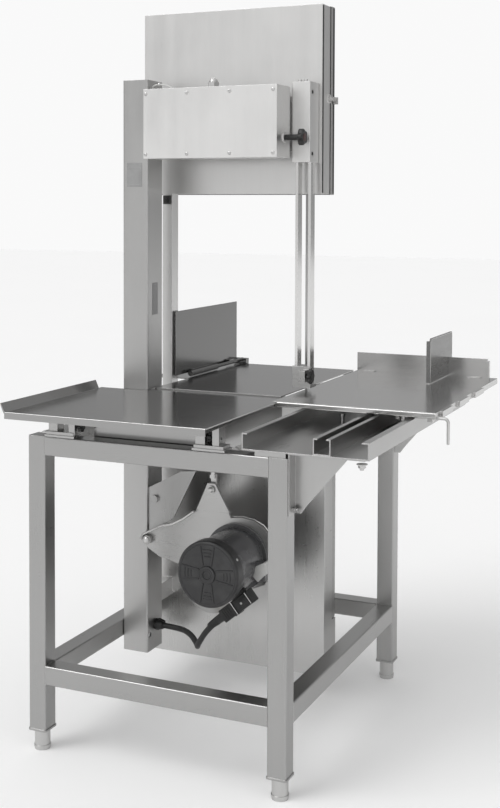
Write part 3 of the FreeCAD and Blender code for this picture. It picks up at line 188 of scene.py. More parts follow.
def brushed(name, grain, base, rough, edge=0.0012, bright=1.25, grainy=1.0):
    """Satin stainless steel with grain along one axis, handling marks, and edges lightened in the base
    colour: partly rubbed wear, partly painted highlight.
    """
    s = Shader(name)
    fine = [900.0, 900.0, 900.0]
    fine["XYZ".index(grain)] = 14.0
    broad = [30.0, 30.0, 30.0]
    broad["XYZ".index(grain)] = 1.0
    lines = s.noise(s.mapped(fine), 1.0, 4.0, 0.65)
    bands = s.noise(s.mapped(broad), 1.0, 2.0, 0.5)
    marks = s.noise(s.coord, 4.0, 4.0, 0.55)
    scratch = s.noise(s.mapped((90.0, 14.0, 160.0), (0.5, 0.9, 0.4)), 1.0, 2.0, 0.4)
    rounded = s.rounded_normal(edge)
    edge_wear_and_highlight = s.edge_mask(rounded)
    tone = s.math("ADD", s.span(lines, 0.3, 0.7, 0.0, 0.35), s.span(bands, 0.3, 0.7, 0.0, 0.3))
    tone = s.math("ADD", tone, s.span(marks, 0.35, 0.7, 0.0, 0.35))
    swing = 0.05 * grainy
    colour = s.mix(tone, shade(base * (1 - swing), STEEL_TINT), shade(base * (1 + swing), STEEL_TINT))
    # Edges lightened in the base colour: partly rubbed wear, partly painted highlight
    colour = s.mix(edge_wear_and_highlight, colour, shade(min(base * bright, 0.95), STEEL_TINT))
    s.link(colour, s.bsdf.inputs["Base Color"])
    level = s.math("ADD", s.span(lines, 0.3, 0.7, rough - 0.035 * grainy, rough + 0.035 * grainy),
                   s.span(marks, 0.35, 0.7, -0.03 * grainy, 0.04 * grainy))
    level = s.math("ADD", level, s.span(bands, 0.3, 0.7, -0.02 * grainy, 0.02 * grainy))
    level = s.math("SUBTRACT", level, s.span(scratch, 0.64, 0.72, 0.0, 0.015))
    level = s.math("SUBTRACT", level, s.span(edge_wear_and_highlight, 0.0, 1.0, 0.0, 0.08))
    s.link(level, s.bsdf.inputs["Roughness"])
    relief = s.math("ADD", lines, s.span(scratch, 0.64, 0.72, 0.0, -0.08))
    s.link(s.bump(relief, 0.06 * grainy, 0.0002, rounded), s.bsdf.inputs["Normal"])
    s.set(Metallic=1.0)
    return s.material


def moulded(name, colour, light, rough, grain_scale=900.0, depth=0.12, edge=0.0008):
    """Plastic, enamel or rubber: fine surface texture, edges lightened partly as dull wear and partly as
    painted highlight, faint dust.
    """
    s = Shader(name)
    texture = s.noise(s.coord, grain_scale, 2.0, 0.5)
    patches = s.noise(s.coord, 22.0, 4.0, 0.6)
    rounded = s.rounded_normal(edge)
    edge_wear_and_highlight = s.edge_mask(rounded)
    base = s.mix(s.span(patches, 0.4, 0.75, 0.0, 0.55), colour, light)
    # Lighter edge colour: partly wear, partly painted highlight
    edge_wear_and_highlight_colour = tuple(min(1.0, c * 1.8 + 0.015) for c in light)
    base = s.mix(s.math("MULTIPLY", edge_wear_and_highlight, 0.5), base, edge_wear_and_highlight_colour)
    s.link(base, s.bsdf.inputs["Base Color"])
    level = s.math("ADD", s.span(patches, 0.35, 0.7, rough - 0.07, rough + 0.08),
                   s.span(texture, 0.3, 0.7, -0.04, 0.04))
    s.link(level, s.bsdf.inputs["Roughness"])
    s.link(s.bump(texture, depth, 0.0003, rounded), s.bsdf.inputs["Normal"])
    s.set(Metallic=0.0)
    return s.material


def two_tone(name, black, grey, at_y):
    """Motor finish: matt black end cover, glossy grey enamel behind it."""
    s = Shader(name)
    split = s.tree.nodes.new("ShaderNodeSeparateXYZ")
    s.link(s.coord, split.inputs[0])
    behind = s.span(split.outputs["Y"], at_y - 0.0005, at_y + 0.0005, 0.0, 1.0)
    texture = s.noise(s.coord, 600.0, 2.0, 0.5)
    patches = s.noise(s.coord, 20.0, 4.0, 0.6)
    rounded = s.rounded_normal(0.0012)
    edge_wear_and_highlight = s.edge_mask(rounded)
    colour = s.mix(behind, black, grey)
    colour = s.mix(s.span(patches, 0.45, 0.8, 0.0, 0.35), colour, shade(0.10))
    # Edges lightened: partly wear, partly painted highlight
    colour = s.mix(s.math("MULTIPLY", edge_wear_and_highlight, 0.5), colour, shade(0.16))
    s.link(colour, s.bsdf.inputs["Base Color"])
    level = s.math("ADD", s.span(behind, 0.0, 1.0, 0.46, 0.27), s.span(patches, 0.35, 0.7, -0.04, 0.05))
    s.link(level, s.bsdf.inputs["Roughness"])
    s.link(s.bump(texture, 0.18, 0.0003, rounded), s.bsdf.inputs["Normal"])
    s.set(Metallic=0.0, Coat_Weight=0.2, Coat_Roughness=0.2)
    return s.material


def cast_metal(name, base, rough):
    """Cast and machined metal with a grainy skin and stains."""
    s = Shader(name)
    skin = s.noise(s.coord, 260.0, 5.0, 0.65)
    stain = s.noise(s.coord, 16.0, 4.0, 0.6)
    rounded = s.rounded_normal(0.0015)
    edge_wear_and_highlight = s.edge_mask(rounded)
    colour = s.mix(s.span(stain, 0.35, 0.7, 0.0, 1.0), shade(base * 0.8, (1, 0.98, 0.95)), shade(base * 1.1))
    # Edges lightened: partly machined wear, partly painted highlight
    colour = s.mix(edge_wear_and_highlight, colour, shade(min(1.0, base * 1.4)))
    s.link(colour, s.bsdf.inputs["Base Color"])
    s.link(s.span(skin, 0.3, 0.7, rough - 0.1, rough + 0.12), s.bsdf.inputs["Roughness"])
    s.link(s.bump(skin, 0.35, 0.0006, rounded), s.bsdf.inputs["Normal"])
    s.set(Metallic=0.9)
    return s.material


LOOK = {
    "leg": brushed("steel_stand_upright", "Z", 0.40, 0.32),
    "rail_x": brushed("steel_stand_rail_x", "X", 0.40, 0.32),
    "rail_y": brushed("steel_stand_rail_y", "Y", 0.42, 0.32),
    "column": brushed("steel_column", "Z", 0.46, 0.32),
    "cover": brushed("steel_cover", "Z", 0.74, 0.36),
    "housing": brushed("steel_housing", "Z", 0.66, 0.34),
    "door": brushed("steel_door", "Z", 0.48, 0.30),
    "lower": brushed("steel_lower_housing", "Z", 0.56, 0.30, grainy=0.6),
    "table_x": brushed("steel_table_x", "X", 0.36, 0.17, grainy=0.45),
    "table_y": brushed("steel_table_y", "Y", 0.56, 0.20, grainy=0.45),
    "tray": brushed("steel_tray", "Y", 0.46, 0.33),
    "fence": brushed("steel_fence", "X", 0.52, 0.20, grainy=0.6),
    # Pusher and gauge: dark plates whose edges are lifted two to three times in tone, a painted highlight
    "pusher": brushed("steel_pusher", "Y", 0.20, 0.26, bright=2.2),
    "gauge": brushed("steel_gauge", "Z", 0.17, 0.18, grainy=0.6, bright=3.0),
    "bar": brushed("steel_bar", "Z", 0.70, 0.16, edge=0.0006, grainy=0.5),
    "turned": brushed("steel_turned", "Z", 0.55, 0.32, edge=0.0006),
    "plate": brushed("steel_plate", "X", 0.46, 0.30),
    "strip": brushed("steel_strip", "Z", 0.42, 0.30, edge=0.0002),
    "zinc": brushed("steel_zinc", "Z", 0.60, 0.36, edge=0.0005),
    "cast": cast_metal("cast_wheel", 0.42, 0.42),
    "enamel": moulded("motor_enamel", (0.02, 0.02, 0.021), (0.034, 0.034, 0.035), 0.40, 700.0, 0.25, 0.0012),
    "motor": two_tone("motor_two_tone", (0.016, 0.016, 0.017), (0.075, 0.075, 0.078), MOTOR_SPLIT_Y),
    "plastic": moulded("black_plastic", (0.012, 0.012, 0.012), (0.022, 0.022, 0.022), 0.40),
    "cap": moulded("brown_cap", (0.045, 0.014, 0.012), (0.07, 0.025, 0.02), 0.38),
    "rubber": moulded("black_rubber", (0.014, 0.014, 0.014), (0.026, 0.026, 0.026), 0.58, 600.0, 0.2),
    "pale": moulded("pale_plastic", (0.55, 0.55, 0.54), (0.66, 0.66, 0.64), 0.42),
    "label": moulded("blank_plate", (0.27, 0.27, 0.27), (0.36, 0.36, 0.36), 0.45, 500.0, 0.05),
}

# ------------------------------------------------------------------ finishes of the CAD nodes
FINISH = {
    "leg": ["leg_rear_left", "leg_rear_right", "leg_front_left", "leg_front_right", "column_gusset"],
    "turned": ["foot_rear_left", "foot_rear_right", "foot_front_left", "foot_front_right"],
    "rail_x": ["low_rail_rear", "low_rail_front", "top_rail_rear", "top_rail_front"],
    "rail_y": ["low_rail_left", "low_rail_right", "top_rail_left", "top_rail_right"],
    "column": ["column"],
    "cover": ["beam_cover", "guide_holder"],
    "housing": ["upper_housing", "beam_box", "return_guard"],
    "door": ["upper_door", "lower_door"],
    "lower": ["lower_housing"],
    "table_x": ["rear_table", "main_table"],
    "table_y": ["sliding_table"],
    "tray": ["slide_tray", "tray_strut", "tray_gussets"],
    "fence": ["fence"],
    "pusher": ["meat_pusher"],
    "gauge": ["gauge_plate"],
    "bar": ["guide_post"],
    "plate": ["guide_block", "swing_plate", "table_supports"],
    "zinc": ["upper_latch", "upper_carriage", "tension_screw", "lower_shaft", "tension_rod", "lock_lever"],
    "cast": ["upper_wheel", "lower_wheel", "driven_pulley", "motor_pulley"],
    "motor": ["motor"],
    "plastic": ["cable_gland", "motor_connector"],
    "rubber": ["belt"],
    "strip": ["blade"],
}


def paint_nodes():
    for look, names in FINISH.items():
        for name in names:
            data = NODES[name].data
            data.materials.clear()
            data.materials.append(LOOK[look])


# ------------------------------------------------------------------ mesh helpers
def add_piece(name, bm, look, body, smooth=35.0):
    bmesh.ops.recalc_face_normals(bm, faces=bm.faces)
    data = bpy.data.meshes.new(name)
    bm.to_mesh(data)
    bm.free()
    data.materials.append(LOOK[look])
    limit = math.radians(smooth)
    data.shade_smooth()
    data.set_sharp_from_angle(angle=limit)
    piece = bpy.data.objects.new(name, data)
    bpy.context.scene.collection.objects.link(piece)
    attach(piece, body)
    return piece


def circle(angle):
    """Plain round outline; every outline gives its share of the radius at an angle."""
    return 1.0


def hexagon(angle):
    return 0.866 / math.cos((angle + math.pi / 6) % (math.pi / 3) - math.pi / 6)


def cross(angle):
    """Outline of a cross recess, with arms a quarter as wide as they are long."""
    a = angle % (math.pi / 2)
    a = min(a, math.pi / 2 - a)
    if a < 1e-6:
        return 1.0
    return min(1.0 / math.cos(a), 0.26 / math.sin(a))


def lobed(count, depth):
    return lambda angle: 1.0 - depth + depth * math.cos(count * angle)


def skin(bm, loops):
    """Faces between each loop of vertices and the next, and a cap on both ends."""
    count = len(loops[0])
    for low, high in zip(loops, loops[1:]):
        for i in range(count):
            j = (i + 1) % count
            bm.faces.new((low[i], low[j], high[j], high[i]))
    bm.faces.new(loops[0])
    bm.faces.new(list(reversed(loops[-1])))


def loop_points(centre, radius, forward=0.0, count=48):
    """Closed run of points round a centre, in a plane across Y."""
    angles = [2 * math.pi * i / count for i in range(count + 1)]
    return [centre + Vector((radius * math.cos(a), forward, radius * math.sin(a))) for a in angles]


def turned(bm, rings, centre, axis, segments=48, spin=0.0):
    """Skins a stack of rings (height, radius, outline) along an axis and caps both ends."""
    axis = axis.normalized()
    side = axis.orthogonal().normalized()
    if abs(axis.z) < 0.9:
        side = axis.cross(Z).normalized()
    up = axis.cross(side)
    loops = []
    for height, radius, outline in rings:
        loop = []
        for i in range(segments):
            a = 2 * math.pi * i / segments
            r = radius * outline(a)
            offset = side * (r * math.cos(a + spin)) + up * (r * math.sin(a + spin))
            loop.append(bm.verts.new(centre + axis * height + offset))
        loops.append(loop)
    skin(bm, loops)


def block(bm, lo, hi, bevel=0.0, segments=2):
    """Box between two corners with rounded edges."""
    lo, hi = Vector(lo), Vector(hi)
    made = bmesh.ops.create_cube(bm, size=1.0)
    verts = made["verts"]
    for v in verts:
        v.co = Vector((lo[i] + (hi[i] - lo[i]) * (v.co[i] + 0.5) for i in range(3)))
    if bevel:
        edges = list({e for v in verts for e in v.link_edges})
        bmesh.ops.bevel(bm, geom=edges, offset=bevel, segments=segments, profile=0.5,
                        affect="EDGES", clamp_overlap=True)


def frame_strip(bm, lo, hi, width, axis):
    """Flat rectangular ring of four bars in the plane across an axis index."""
    a, b = [i for i in range(3) if i != axis]
    for edge, other in ((a, b), (b, a)):
        for side in (0, 1):
            p, q = Vector(lo), Vector(hi)
            if side == 0:
                q[edge] = lo[edge] + width
            else:
                p[edge] = hi[edge] - width
            if edge == b:
                p[other] = lo[other] + width
                q[other] = hi[other] - width
            block(bm, p, q)


def bead(bm, start, end, radius, pitch, segments=7):
    """Rippled weld bead along a straight edge."""
    run = end - start
    along = run.normalized()
    side = along.orthogonal().normalized()
    up = along.cross(side)
    count = max(4, int(run.length / pitch) * 2)
    loops = []
    for i in range(count + 1):
        swell = 1.0 if i % 2 else 0.8
        if i in (0, count):
            swell = 0.45
        centre = start + run * (i / count)
        loop = []
        for k in range(segments):
            a = 2 * math.pi * k / segments
            loop.append(bm.verts.new(centre + (side * math.cos(a) + up * math.sin(a)) * radius * swell))
        loops.append(loop)
    skin(bm, loops)


def tube(bm, points, radius, segments=12):
    """Round bar through points, with mitred turns."""
    points = [Vector(p) for p in points]
    loops = []
    side = None
    for i, p in enumerate(points):
        if i == 0:
            along = points[1] - p
        elif i == len(points) - 1:
            along = p - points[i - 1]
        else:
            along = (points[i + 1] - p).normalized() + (p - points[i - 1]).normalized()
        along.normalize()
        if side is None:
            side = along.orthogonal().normalized()
        side = (side - along * side.dot(along)).normalized()
        up = along.cross(side)
        loop = []
        for k in range(segments):
            a = 2 * math.pi * k / segments
            loop.append(bm.verts.new(p + (side * math.cos(a) + up * math.sin(a)) * radius))
        loops.append(loop)
    skin(bm, loops)


def pan_screw(bm, at, axis, r, spin=0.0):
    """Domed screw head with a cross recess."""
    h = r * 0.5
    turned(bm, [(-0.3 * MM, r * 0.96, circle), (0.0, r, circle), (h * 0.45, r * 0.97, circle),
                (h * 0.8, r * 0.82, circle), (h, r * 0.6, circle), (h * 1.02, r * 0.5, cross),
                (h * 0.5, r * 0.42, cross)], at, axis, 48, spin)


def hex_bolt(bm, at, axis, r, h, spin=0.0):
    """Hexagon head with a chamfered top, on a washer."""
    low = r * 0.2
    turned(bm, [(-0.2 * MM, r * 1.45, circle), (r * 0.16, r * 1.45, circle), (low, r * 1.4, circle)],
           at, axis, 36)
    turned(bm, [(low, r, hexagon), (low + h * 0.85, r, hexagon), (low + h, r * 0.9, hexagon),
                (low + h * 1.01, r * 0.55, circle)], at, axis, 36, spin)


def socket_screw(bm, at, axis, r, h):
    """Cylinder head with a hexagon socket."""
    turned(bm, [(-0.5 * MM, r, circle), (h * 0.9, r, circle), (h, r * 0.93, circle),
                (h, r * 0.62, hexagon), (h * 0.3, r * 0.6, hexagon)], at, axis, 36)


# ------------------------------------------------------------------ lead
LEAD_ROUTE = [(-0.3625, -0.0470, 0.2080), (-0.2895, -0.0470, 0.2080), (-0.2250, -0.0980, 0.2160),
              (-0.1800, -0.1430, 0.2020), (-0.1660, -0.1800, 0.2170), (-0.1182, -0.2030, 0.2838),
              (-0.0766, -0.2030, 0.3183)]


def make_lead():
    """The motor lead: out of the column's gland, one slack loop, into the connector's boot."""
    data = bpy.data.curves.new("motor_lead_cable", "CURVE")
    data.dimensions = "3D"
    data.bevel_depth = 0.008
    data.bevel_resolution = 6
    data.resolution_u = 24
    data.use_fill_caps = True
    spline = data.splines.new("NURBS")
    spline.points.add(len(LEAD_ROUTE) - 1)
    for point, place in zip(spline.points, LEAD_ROUTE):
        point.co = (*place, 1.0)
    spline.order_u = 3
    spline.use_endpoint_u = True
    data.materials.append(LOOK["rubber"])
    lead = bpy.data.objects.new("motor_lead_cable", data)
    bpy.context.scene.collection.objects.link(lead)
    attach(lead, "machine")
    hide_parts("motor_lead")


# ------------------------------------------------------------------ details
def beam_details():
    """Screws of the beam's cover, bolts of the guide holder, and the clip on the beam's top."""
    lo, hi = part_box("beam_cover")
    bm = bmesh.new()
    turn = 0
    for dx in (7, 137, 268, (hi.x - lo.x) / MM - 11):
        for z in (lo.z + 12 * MM, hi.z - 14 * MM):
            turn += 1
            pan_screw(bm, Vector((lo.x + dx * MM, lo.y, z)), -Y, 5.2 * MM, turn * 0.7)
    add_piece("beam_cover_screws", bm, "zinc", "machine")

    beam_lo, beam_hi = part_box("beam_box")
    hold_lo, hold_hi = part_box("guide_holder")
    bm = bmesh.new()
    for z in (beam_hi.z - 26 * MM, beam_lo.z + 30 * MM):
        hex_bolt(bm, Vector((hold_lo.x - 2 * MM, beam_hi.y - 32 * MM, z)), X, 6.5 * MM, 5 * MM)
    add_piece("beam_end_bolts", bm, "zinc", "machine")

    bm = bmesh.new()
    for dx in (20, 38):
        hex_bolt(bm, Vector((hold_lo.x + dx * MM, hold_lo.y + 9 * MM, hold_hi.z)), Z, 5.5 * MM, 5 * MM)
    add_piece("guide_holder_top_bolts", bm, "zinc", "machine")

    bm = bmesh.new()
    for z in (hold_lo.z + 24 * MM, hold_hi.z - 28 * MM):
        socket_screw(bm, Vector((hold_hi.x - 2 * MM, hold_lo.y + 20 * MM, z)), X, 5.0 * MM, 2.6 * MM)
    add_piece("guide_holder_set_screws", bm, "plastic", "machine")

    # Bent wire clip with a pale button on the beam's top
    bm = bmesh.new()
    top = beam_hi.z
    y = beam_lo.y + 18 * MM
    x0 = beam_lo.x + 6 * MM
    tube(bm, [(x0, y, top - 1 * MM), (x0 + 2 * MM, y, top + 9 * MM), (x0 + 12 * MM, y, top + 13 * MM),
              (x0 + 30 * MM, y, top + 13 * MM), (x0 + 48 * MM, y, top + 9 * MM),
              (x0 + 62 * MM, y, top + 2 * MM), (x0 + 70 * MM, y, top - 1 * MM)], 2.4 * MM)
    add_piece("beam_top_clip", bm, "pale", "machine")
    bm = bmesh.new()
    turned(bm, [(-1 * MM, 5 * MM, circle), (3 * MM, 5 * MM, circle), (5 * MM, 4 * MM, circle),
                (7 * MM, 2.5 * MM, circle)], Vector((x0 + 22 * MM, y, top + 12 * MM)), Z, 32)
    add_piece("beam_top_button", bm, "zinc", "machine")


def plates():
    """Blank rating plate, blank side plate and the guard's edge block."""
    lo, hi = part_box("column")
    bm = bmesh.new()
    p = Vector((lo.x + 13 * MM, lo.y - 0.8 * MM, RATING_PLATE_Z[0]))
    q = Vector((lo.x + 62 * MM, lo.y, RATING_PLATE_Z[1]))
    block(bm, p, q, 0.3 * MM, 1)
    frame_strip(bm, p + Vector((3 * MM, -0.3 * MM, 6 * MM)),
                q + Vector((-3 * MM, -0.4 * MM, -14 * MM)), 0.8 * MM, 1)
    for dx in (4, 45):
        pan_screw(bm, p + Vector((dx * MM, 0, 3 * MM)), -Y, 1.4 * MM)
        pan_screw(bm, p + Vector((dx * MM, 0, 65 * MM)), -Y, 1.4 * MM)
    add_piece("rating_plate_blank", bm, "label", "machine")
    bm = bmesh.new()
    p = Vector((hi.x, lo.y + 28 * MM, SIDE_PLATE_Z[0]))
    q = Vector((hi.x + 0.6 * MM, lo.y + 60 * MM, SIDE_PLATE_Z[1]))
    block(bm, p, q, 0.2 * MM, 1)
    frame_strip(bm, p + Vector((0.5 * MM, 4 * MM, 5 * MM)),
                q + Vector((0.2 * MM, -4 * MM, -5 * MM)), 1.2 * MM, 0)
    add_piece("side_plate_blank", bm, "label", "machine")

    glo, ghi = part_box("return_guard")
    bm = bmesh.new()
    block(bm, (ghi.x - 24 * MM, glo.y - 12 * MM, ghi.z - 30 * MM),
          (ghi.x - 2 * MM, glo.y, ghi.z - 4 * MM), 2 * MM)
    socket_screw(bm, Vector((ghi.x - 13 * MM, glo.y - 12 * MM, ghi.z - 17 * MM)), -Y, 4 * MM, 2 * MM)
    add_piece("return_guard_stop", bm, "plastic", "machine")


def fan_cover():
    """Relief on the motor's fan cover: raised sectors, ring and hub cap."""
    pulley_lo, pulley_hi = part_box("motor_pulley")
    centre = (pulley_lo + pulley_hi) / 2
    centre.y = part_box("motor")[0].y + 3 * MM
    bm = bmesh.new()
    for k in range(4):
        base = math.radians(90 * k)
        for r in (48 * MM, 57 * MM, 66 * MM):
            half = math.radians(11)
            points = []
            for i in range(7):
                a = base - half + 2 * half * i / 6
                points.append(centre + Vector((r * math.cos(a), 0.2 * MM, r * math.sin(a))))
            tube(bm, points, 2.0 * MM, 6)
        for turn in (-0.26, 0.26):
            inner = Vector((math.cos(base + turn * 1.8), 0, math.sin(base + turn * 1.8))) * (27 * MM)
            outer = Vector((math.cos(base + turn), 0, math.sin(base + turn))) * (76 * MM)
            tube(bm, [centre + inner, centre + outer], 2.4 * MM, 6)
    tube(bm, loop_points(centre, 80 * MM, 0.6 * MM), 1.6 * MM, 6)
    for radius in (15 * MM, 22 * MM):
        tube(bm, loop_points(centre, radius, -2.2 * MM, 40), 1.6 * MM, 6)
    turned(bm, [(-1 * MM, 11.5 * MM, circle), (1.6 * MM, 11.5 * MM, circle), (2.4 * MM, 9 * MM, circle),
                (1.2 * MM, 6 * MM, circle)], centre, -Y, 40)
    add_piece("motor_fan_cover_relief", bm, "enamel", "motor_carrier")

    bm = bmesh.new()
    for k in range(3):
        a = math.radians(30 + 120 * k)
        r = 88.6 * MM
        at = centre + Vector((r * math.cos(a), 20 * MM, r * math.sin(a)))
        pan_screw(bm, at, Vector((math.cos(a), 0, math.sin(a))), 4 * MM)
    add_piece("motor_cover_screws", bm, "zinc", "motor_carrier")


# Edges of the swing plate drawn as tubes of lighter steel, painted highlights, as x and z in metres
PLATE_RIM_HIGHLIGHT = [(-0.3745, 0.475), (-0.3665, 0.4905), (-0.3105, 0.5195), (-0.2725, 0.5295), (-0.2375, 0.5490),
             (-0.2045, 0.5730)]
PLATE_LOW_EDGE_HIGHLIGHT = [(-0.3745, 0.475), (-0.3705, 0.457), (-0.3235, 0.429), (-0.2895, 0.422)]
PLATE_SHOULDER_HIGHLIGHT = [(-0.0985, 0.5620), (-0.0655, 0.5660), (-0.0315, 0.5620), (-0.0025, 0.5480),
                  (0.0175, 0.5260), (0.0315, 0.4800)]
PLATE_EAR_HIGHLIGHT = [(-0.1985, 0.5760), (-0.0985, 0.5760)]


def carrier_bolts():
    """The swing plate's bolt heads, boss, and rims of lighter steel that are painted highlights."""
    rod_lo, rod_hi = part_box("tension_rod")
    plate_lo, plate_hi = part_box("swing_plate")
    pulley_lo, pulley_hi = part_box("motor_pulley")
    front = plate_hi.y - 6 * MM
    bm = bmesh.new()
    apex = Vector(((rod_lo.x + rod_hi.x) / 2, plate_lo.y + 5 * MM, rod_lo.z + 13 * MM))
    turned(bm, [(0, 11 * MM, circle), (1.5 * MM, 11 * MM, circle), (1.6 * MM, 8.5 * MM, circle),
                (4.5 * MM, 8 * MM, circle), (6.5 * MM, 5.5 * MM, circle), (7 * MM, 2 * MM, circle)],
           apex + Y * 4 * MM, -Y, 40)
    add_piece("apex_bolt_head", bm, "zinc", "motor_carrier")

    boss = Vector(((pulley_lo.x + pulley_hi.x) / 2 - 24 * MM, front - 0.6 * MM,
                   (pulley_lo.z + pulley_hi.z) / 2 + 56 * MM))
    bm = bmesh.new()
    for radius, thick in ((24 * MM, 2.2 * MM), (15 * MM, 1.3 * MM)):
        tube(bm, loop_points(boss, radius), thick, 8)
    add_piece("swing_plate_boss", bm, "bar", "motor_carrier")

    # Tubes of lighter steel along the plate's edges and ear fold: painted highlights
    bm = bmesh.new()
    low_y = front - 1.0 * MM
    for run, y, thick in ((PLATE_RIM_HIGHLIGHT, plate_lo.y + 1.5 * MM, 2.6 * MM), (PLATE_LOW_EDGE_HIGHLIGHT, low_y, 2.6 * MM),
                          (PLATE_SHOULDER_HIGHLIGHT, low_y, 2.6 * MM), (PLATE_EAR_HIGHLIGHT, plate_hi.y - 12.5 * MM, 1.6 * MM)):
        tube(bm, [Vector((x, y, z)) for x, z in run], thick, 8)
    add_piece("swing_plate_rim_highlights", bm, "bar", "motor_carrier")

    bm = bmesh.new()
    pivot = Vector((PIVOT_X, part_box("column_gusset")[0].y, PIVOT_Z))
    turned(bm, [(-0.5 * MM, 9 * MM, circle), (3 * MM, 8.6 * MM, circle), (5.5 * MM, 6 * MM, circle),
                (6.2 * MM, 2 * MM, circle)], pivot, -Y, 40)
    add_piece("swing_pivot_bolt_head", bm, "zinc", "machine")


def table_edges():
    """Rounded edges of the fixed tables in lighter steel, painted highlights, and the pusher's rolled rim in
    a lighter steel than its plate, also a painted highlight.
    """
    lo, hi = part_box("rear_table")
    top = hi.z - 24 * MM
    # Tubes of lighter steel along the table's edges: painted highlight lines
    bm = bmesh.new()
    tube(bm, [(lo.x + 13 * MM, lo.y + 1.9 * MM, top), (hi.x - 1 * MM, lo.y + 1.9 * MM, top)], 1.8 * MM, 8)
    tube(bm, [(hi.x - 1.2 * MM, lo.y + 2 * MM, top), (hi.x - 1.2 * MM, hi.y - 4 * MM, top)], 1.6 * MM, 8)
    add_piece("rear_table_edge_highlight", bm, "bar", "machine")

    lo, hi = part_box("meat_pusher")
    x = hi.x - 1.5 * MM
    r = 2.4 * MM
    corner = 9 * MM
    low, high = lo.z + r, hi.z - r
    near, far = lo.y + r, hi.y - r
    rim = [(x, near, low)]
    for y, turn in ((near + corner, 180), (far - corner, 90)):
        for i in range(7):
            a = math.radians(turn - 15 * i)
            rim.append((x, y + corner * math.cos(a), high - corner + corner * math.sin(a)))
    rim.append((x, far, low + 58 * MM))
    # Rolled rim in lighter steel than the pusher plate: painted highlight
    bm = bmesh.new()
    tube(bm, rim, r, 10)
    add_piece("pusher_rim_highlight", bm, "plate", "pusher")


def connector_details():
    """Ribs, clip and screw of the motor's plug-in connector, and the lead's boot."""
    tilt = Matrix.Rotation(-math.radians(CONNECTOR_TILT), 4, "Y")
    origin = Vector(CONNECTOR_ORIGIN)

    def place(bm):
        for v in bm.verts:
            v.co = (tilt @ v.co) + origin

    bm = bmesh.new()
    for x in (8, 15, 22, 29):
        block(bm, (x * MM, -19.2 * MM, -36 * MM), ((x + 2.4) * MM, -17.6 * MM, -4 * MM), 0.5 * MM)
    block(bm, (52 * MM, -19.4 * MM, -33 * MM), (94 * MM, -17.6 * MM, -7 * MM), 0.7 * MM)
    block(bm, (60 * MM, -20.4 * MM, -28 * MM), (86 * MM, -19.0 * MM, -12 * MM), 0.5 * MM)
    place(bm)
    add_piece("connector_ribs", bm, "plastic", "motor_carrier")
    bm = bmesh.new()
    tube(bm, [(47 * MM, -21.5 * MM, -39 * MM), (47 * MM, -21.5 * MM, 1 * MM), (47 * MM, -10 * MM, 4 * MM)],
         1.0 * MM, 8)
    tube(bm, [(98 * MM, -19.6 * MM, -36 * MM), (98 * MM, -19.6 * MM, -3 * MM)], 1.0 * MM, 8)
    place(bm)
    add_piece("connector_clip", bm, "bar", "motor_carrier")
    bm = bmesh.new()
    pan_screw(bm, Vector((73 * MM, -20.4 * MM, -20 * MM)), -Y, 3.4 * MM, 0.4)
    place(bm)
    add_piece("connector_screw", bm, "zinc", "motor_carrier")
    bm = bmesh.new()
    rings = [(-2 * MM, 11.4 * MM, circle)]
    for i in range(6):
        start = i * 5.4 * MM
        wide = (11.6 - 0.38 * i) * MM
        rings += [(start, wide, circle), (start + 3.2 * MM, wide, circle),
                  (start + 3.6 * MM, wide - 1.2 * MM, circle), (start + 5.0 * MM, wide - 1.2 * MM, circle)]
    rings.append((33 * MM, 8.7 * MM, circle))
    turned(bm, rings, Vector((-26 * MM, 0, -19 * MM)), -X, 40)
    place(bm)
    add_piece("lead_boot", bm, "rubber", "motor_carrier")


def tray_bolts():
    """Bolts through the tray's floor and strut, and the stop bolt under its front corner."""
    lo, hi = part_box("slide_tray")
    bm = bmesh.new()
    for x, y in ((56, 120), (262, 106), (56, 770), (262, 770)):
        hex_bolt(bm, Vector((lo.x + x * MM, lo.y + y * MM, lo.z + 3 * MM)), Z, 6.5 * MM, 5 * MM, spin=0.3)
    add_piece("tray_floor_bolts", bm, "zinc", "machine")
    bm = bmesh.new()
    for y in (60, 430, 820):
        hex_bolt(bm, Vector((lo.x + 204 * MM, lo.y + y * MM, lo.z + 6 * MM)), Z, 6.0 * MM, 4.5 * MM, spin=0.1)
    add_piece("strut_bolts", bm, "zinc", "machine")
    bm = bmesh.new()
    hex_bolt(bm, Vector((hi.x - 24 * MM, lo.y + 22 * MM, lo.z)), -Z, 9.0 * MM, 8 * MM)
    turned(bm, [(0, 5 * MM, circle), (14 * MM, 5 * MM, circle), (15 * MM, 4 * MM, circle)],
           Vector((hi.x - 24 * MM, lo.y + 22 * MM, lo.z)), -Z, 24)
    add_piece("tray_stop_bolt", bm, "zinc", "machine")


def weld_round(bm, corners):
    for a, b in zip(corners, corners[1:] + corners[:1]):
        bead(bm, a, b, 1.1 * MM, 2.6 * MM)


def stand_welds():
    """Weld beads round both ends of every rail."""
    bm = bmesh.new()
    inset = 1.2 * MM
    for level in ("low", "top"):
        for side in ("rear", "front"):
            lo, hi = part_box(f"{level}_rail_{side}")
            near, far = lo.y + inset, hi.y - inset
            for x in (lo.x, hi.x):
                weld_round(bm, [Vector((x, near, lo.z)), Vector((x, far, lo.z)),
                                Vector((x, far, hi.z)), Vector((x, near, hi.z))])
        for side in ("left", "right"):
            lo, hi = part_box(f"{level}_rail_{side}")
            near, far = lo.x + inset, hi.x - inset
            for y in (lo.y, hi.y):
                weld_round(bm, [Vector((near, y, lo.z)), Vector((far, y, lo.z)),
                                Vector((far, y, hi.z)), Vector((near, y, hi.z))])
    add_piece("stand_weld_beads", bm, "turned", "machine")


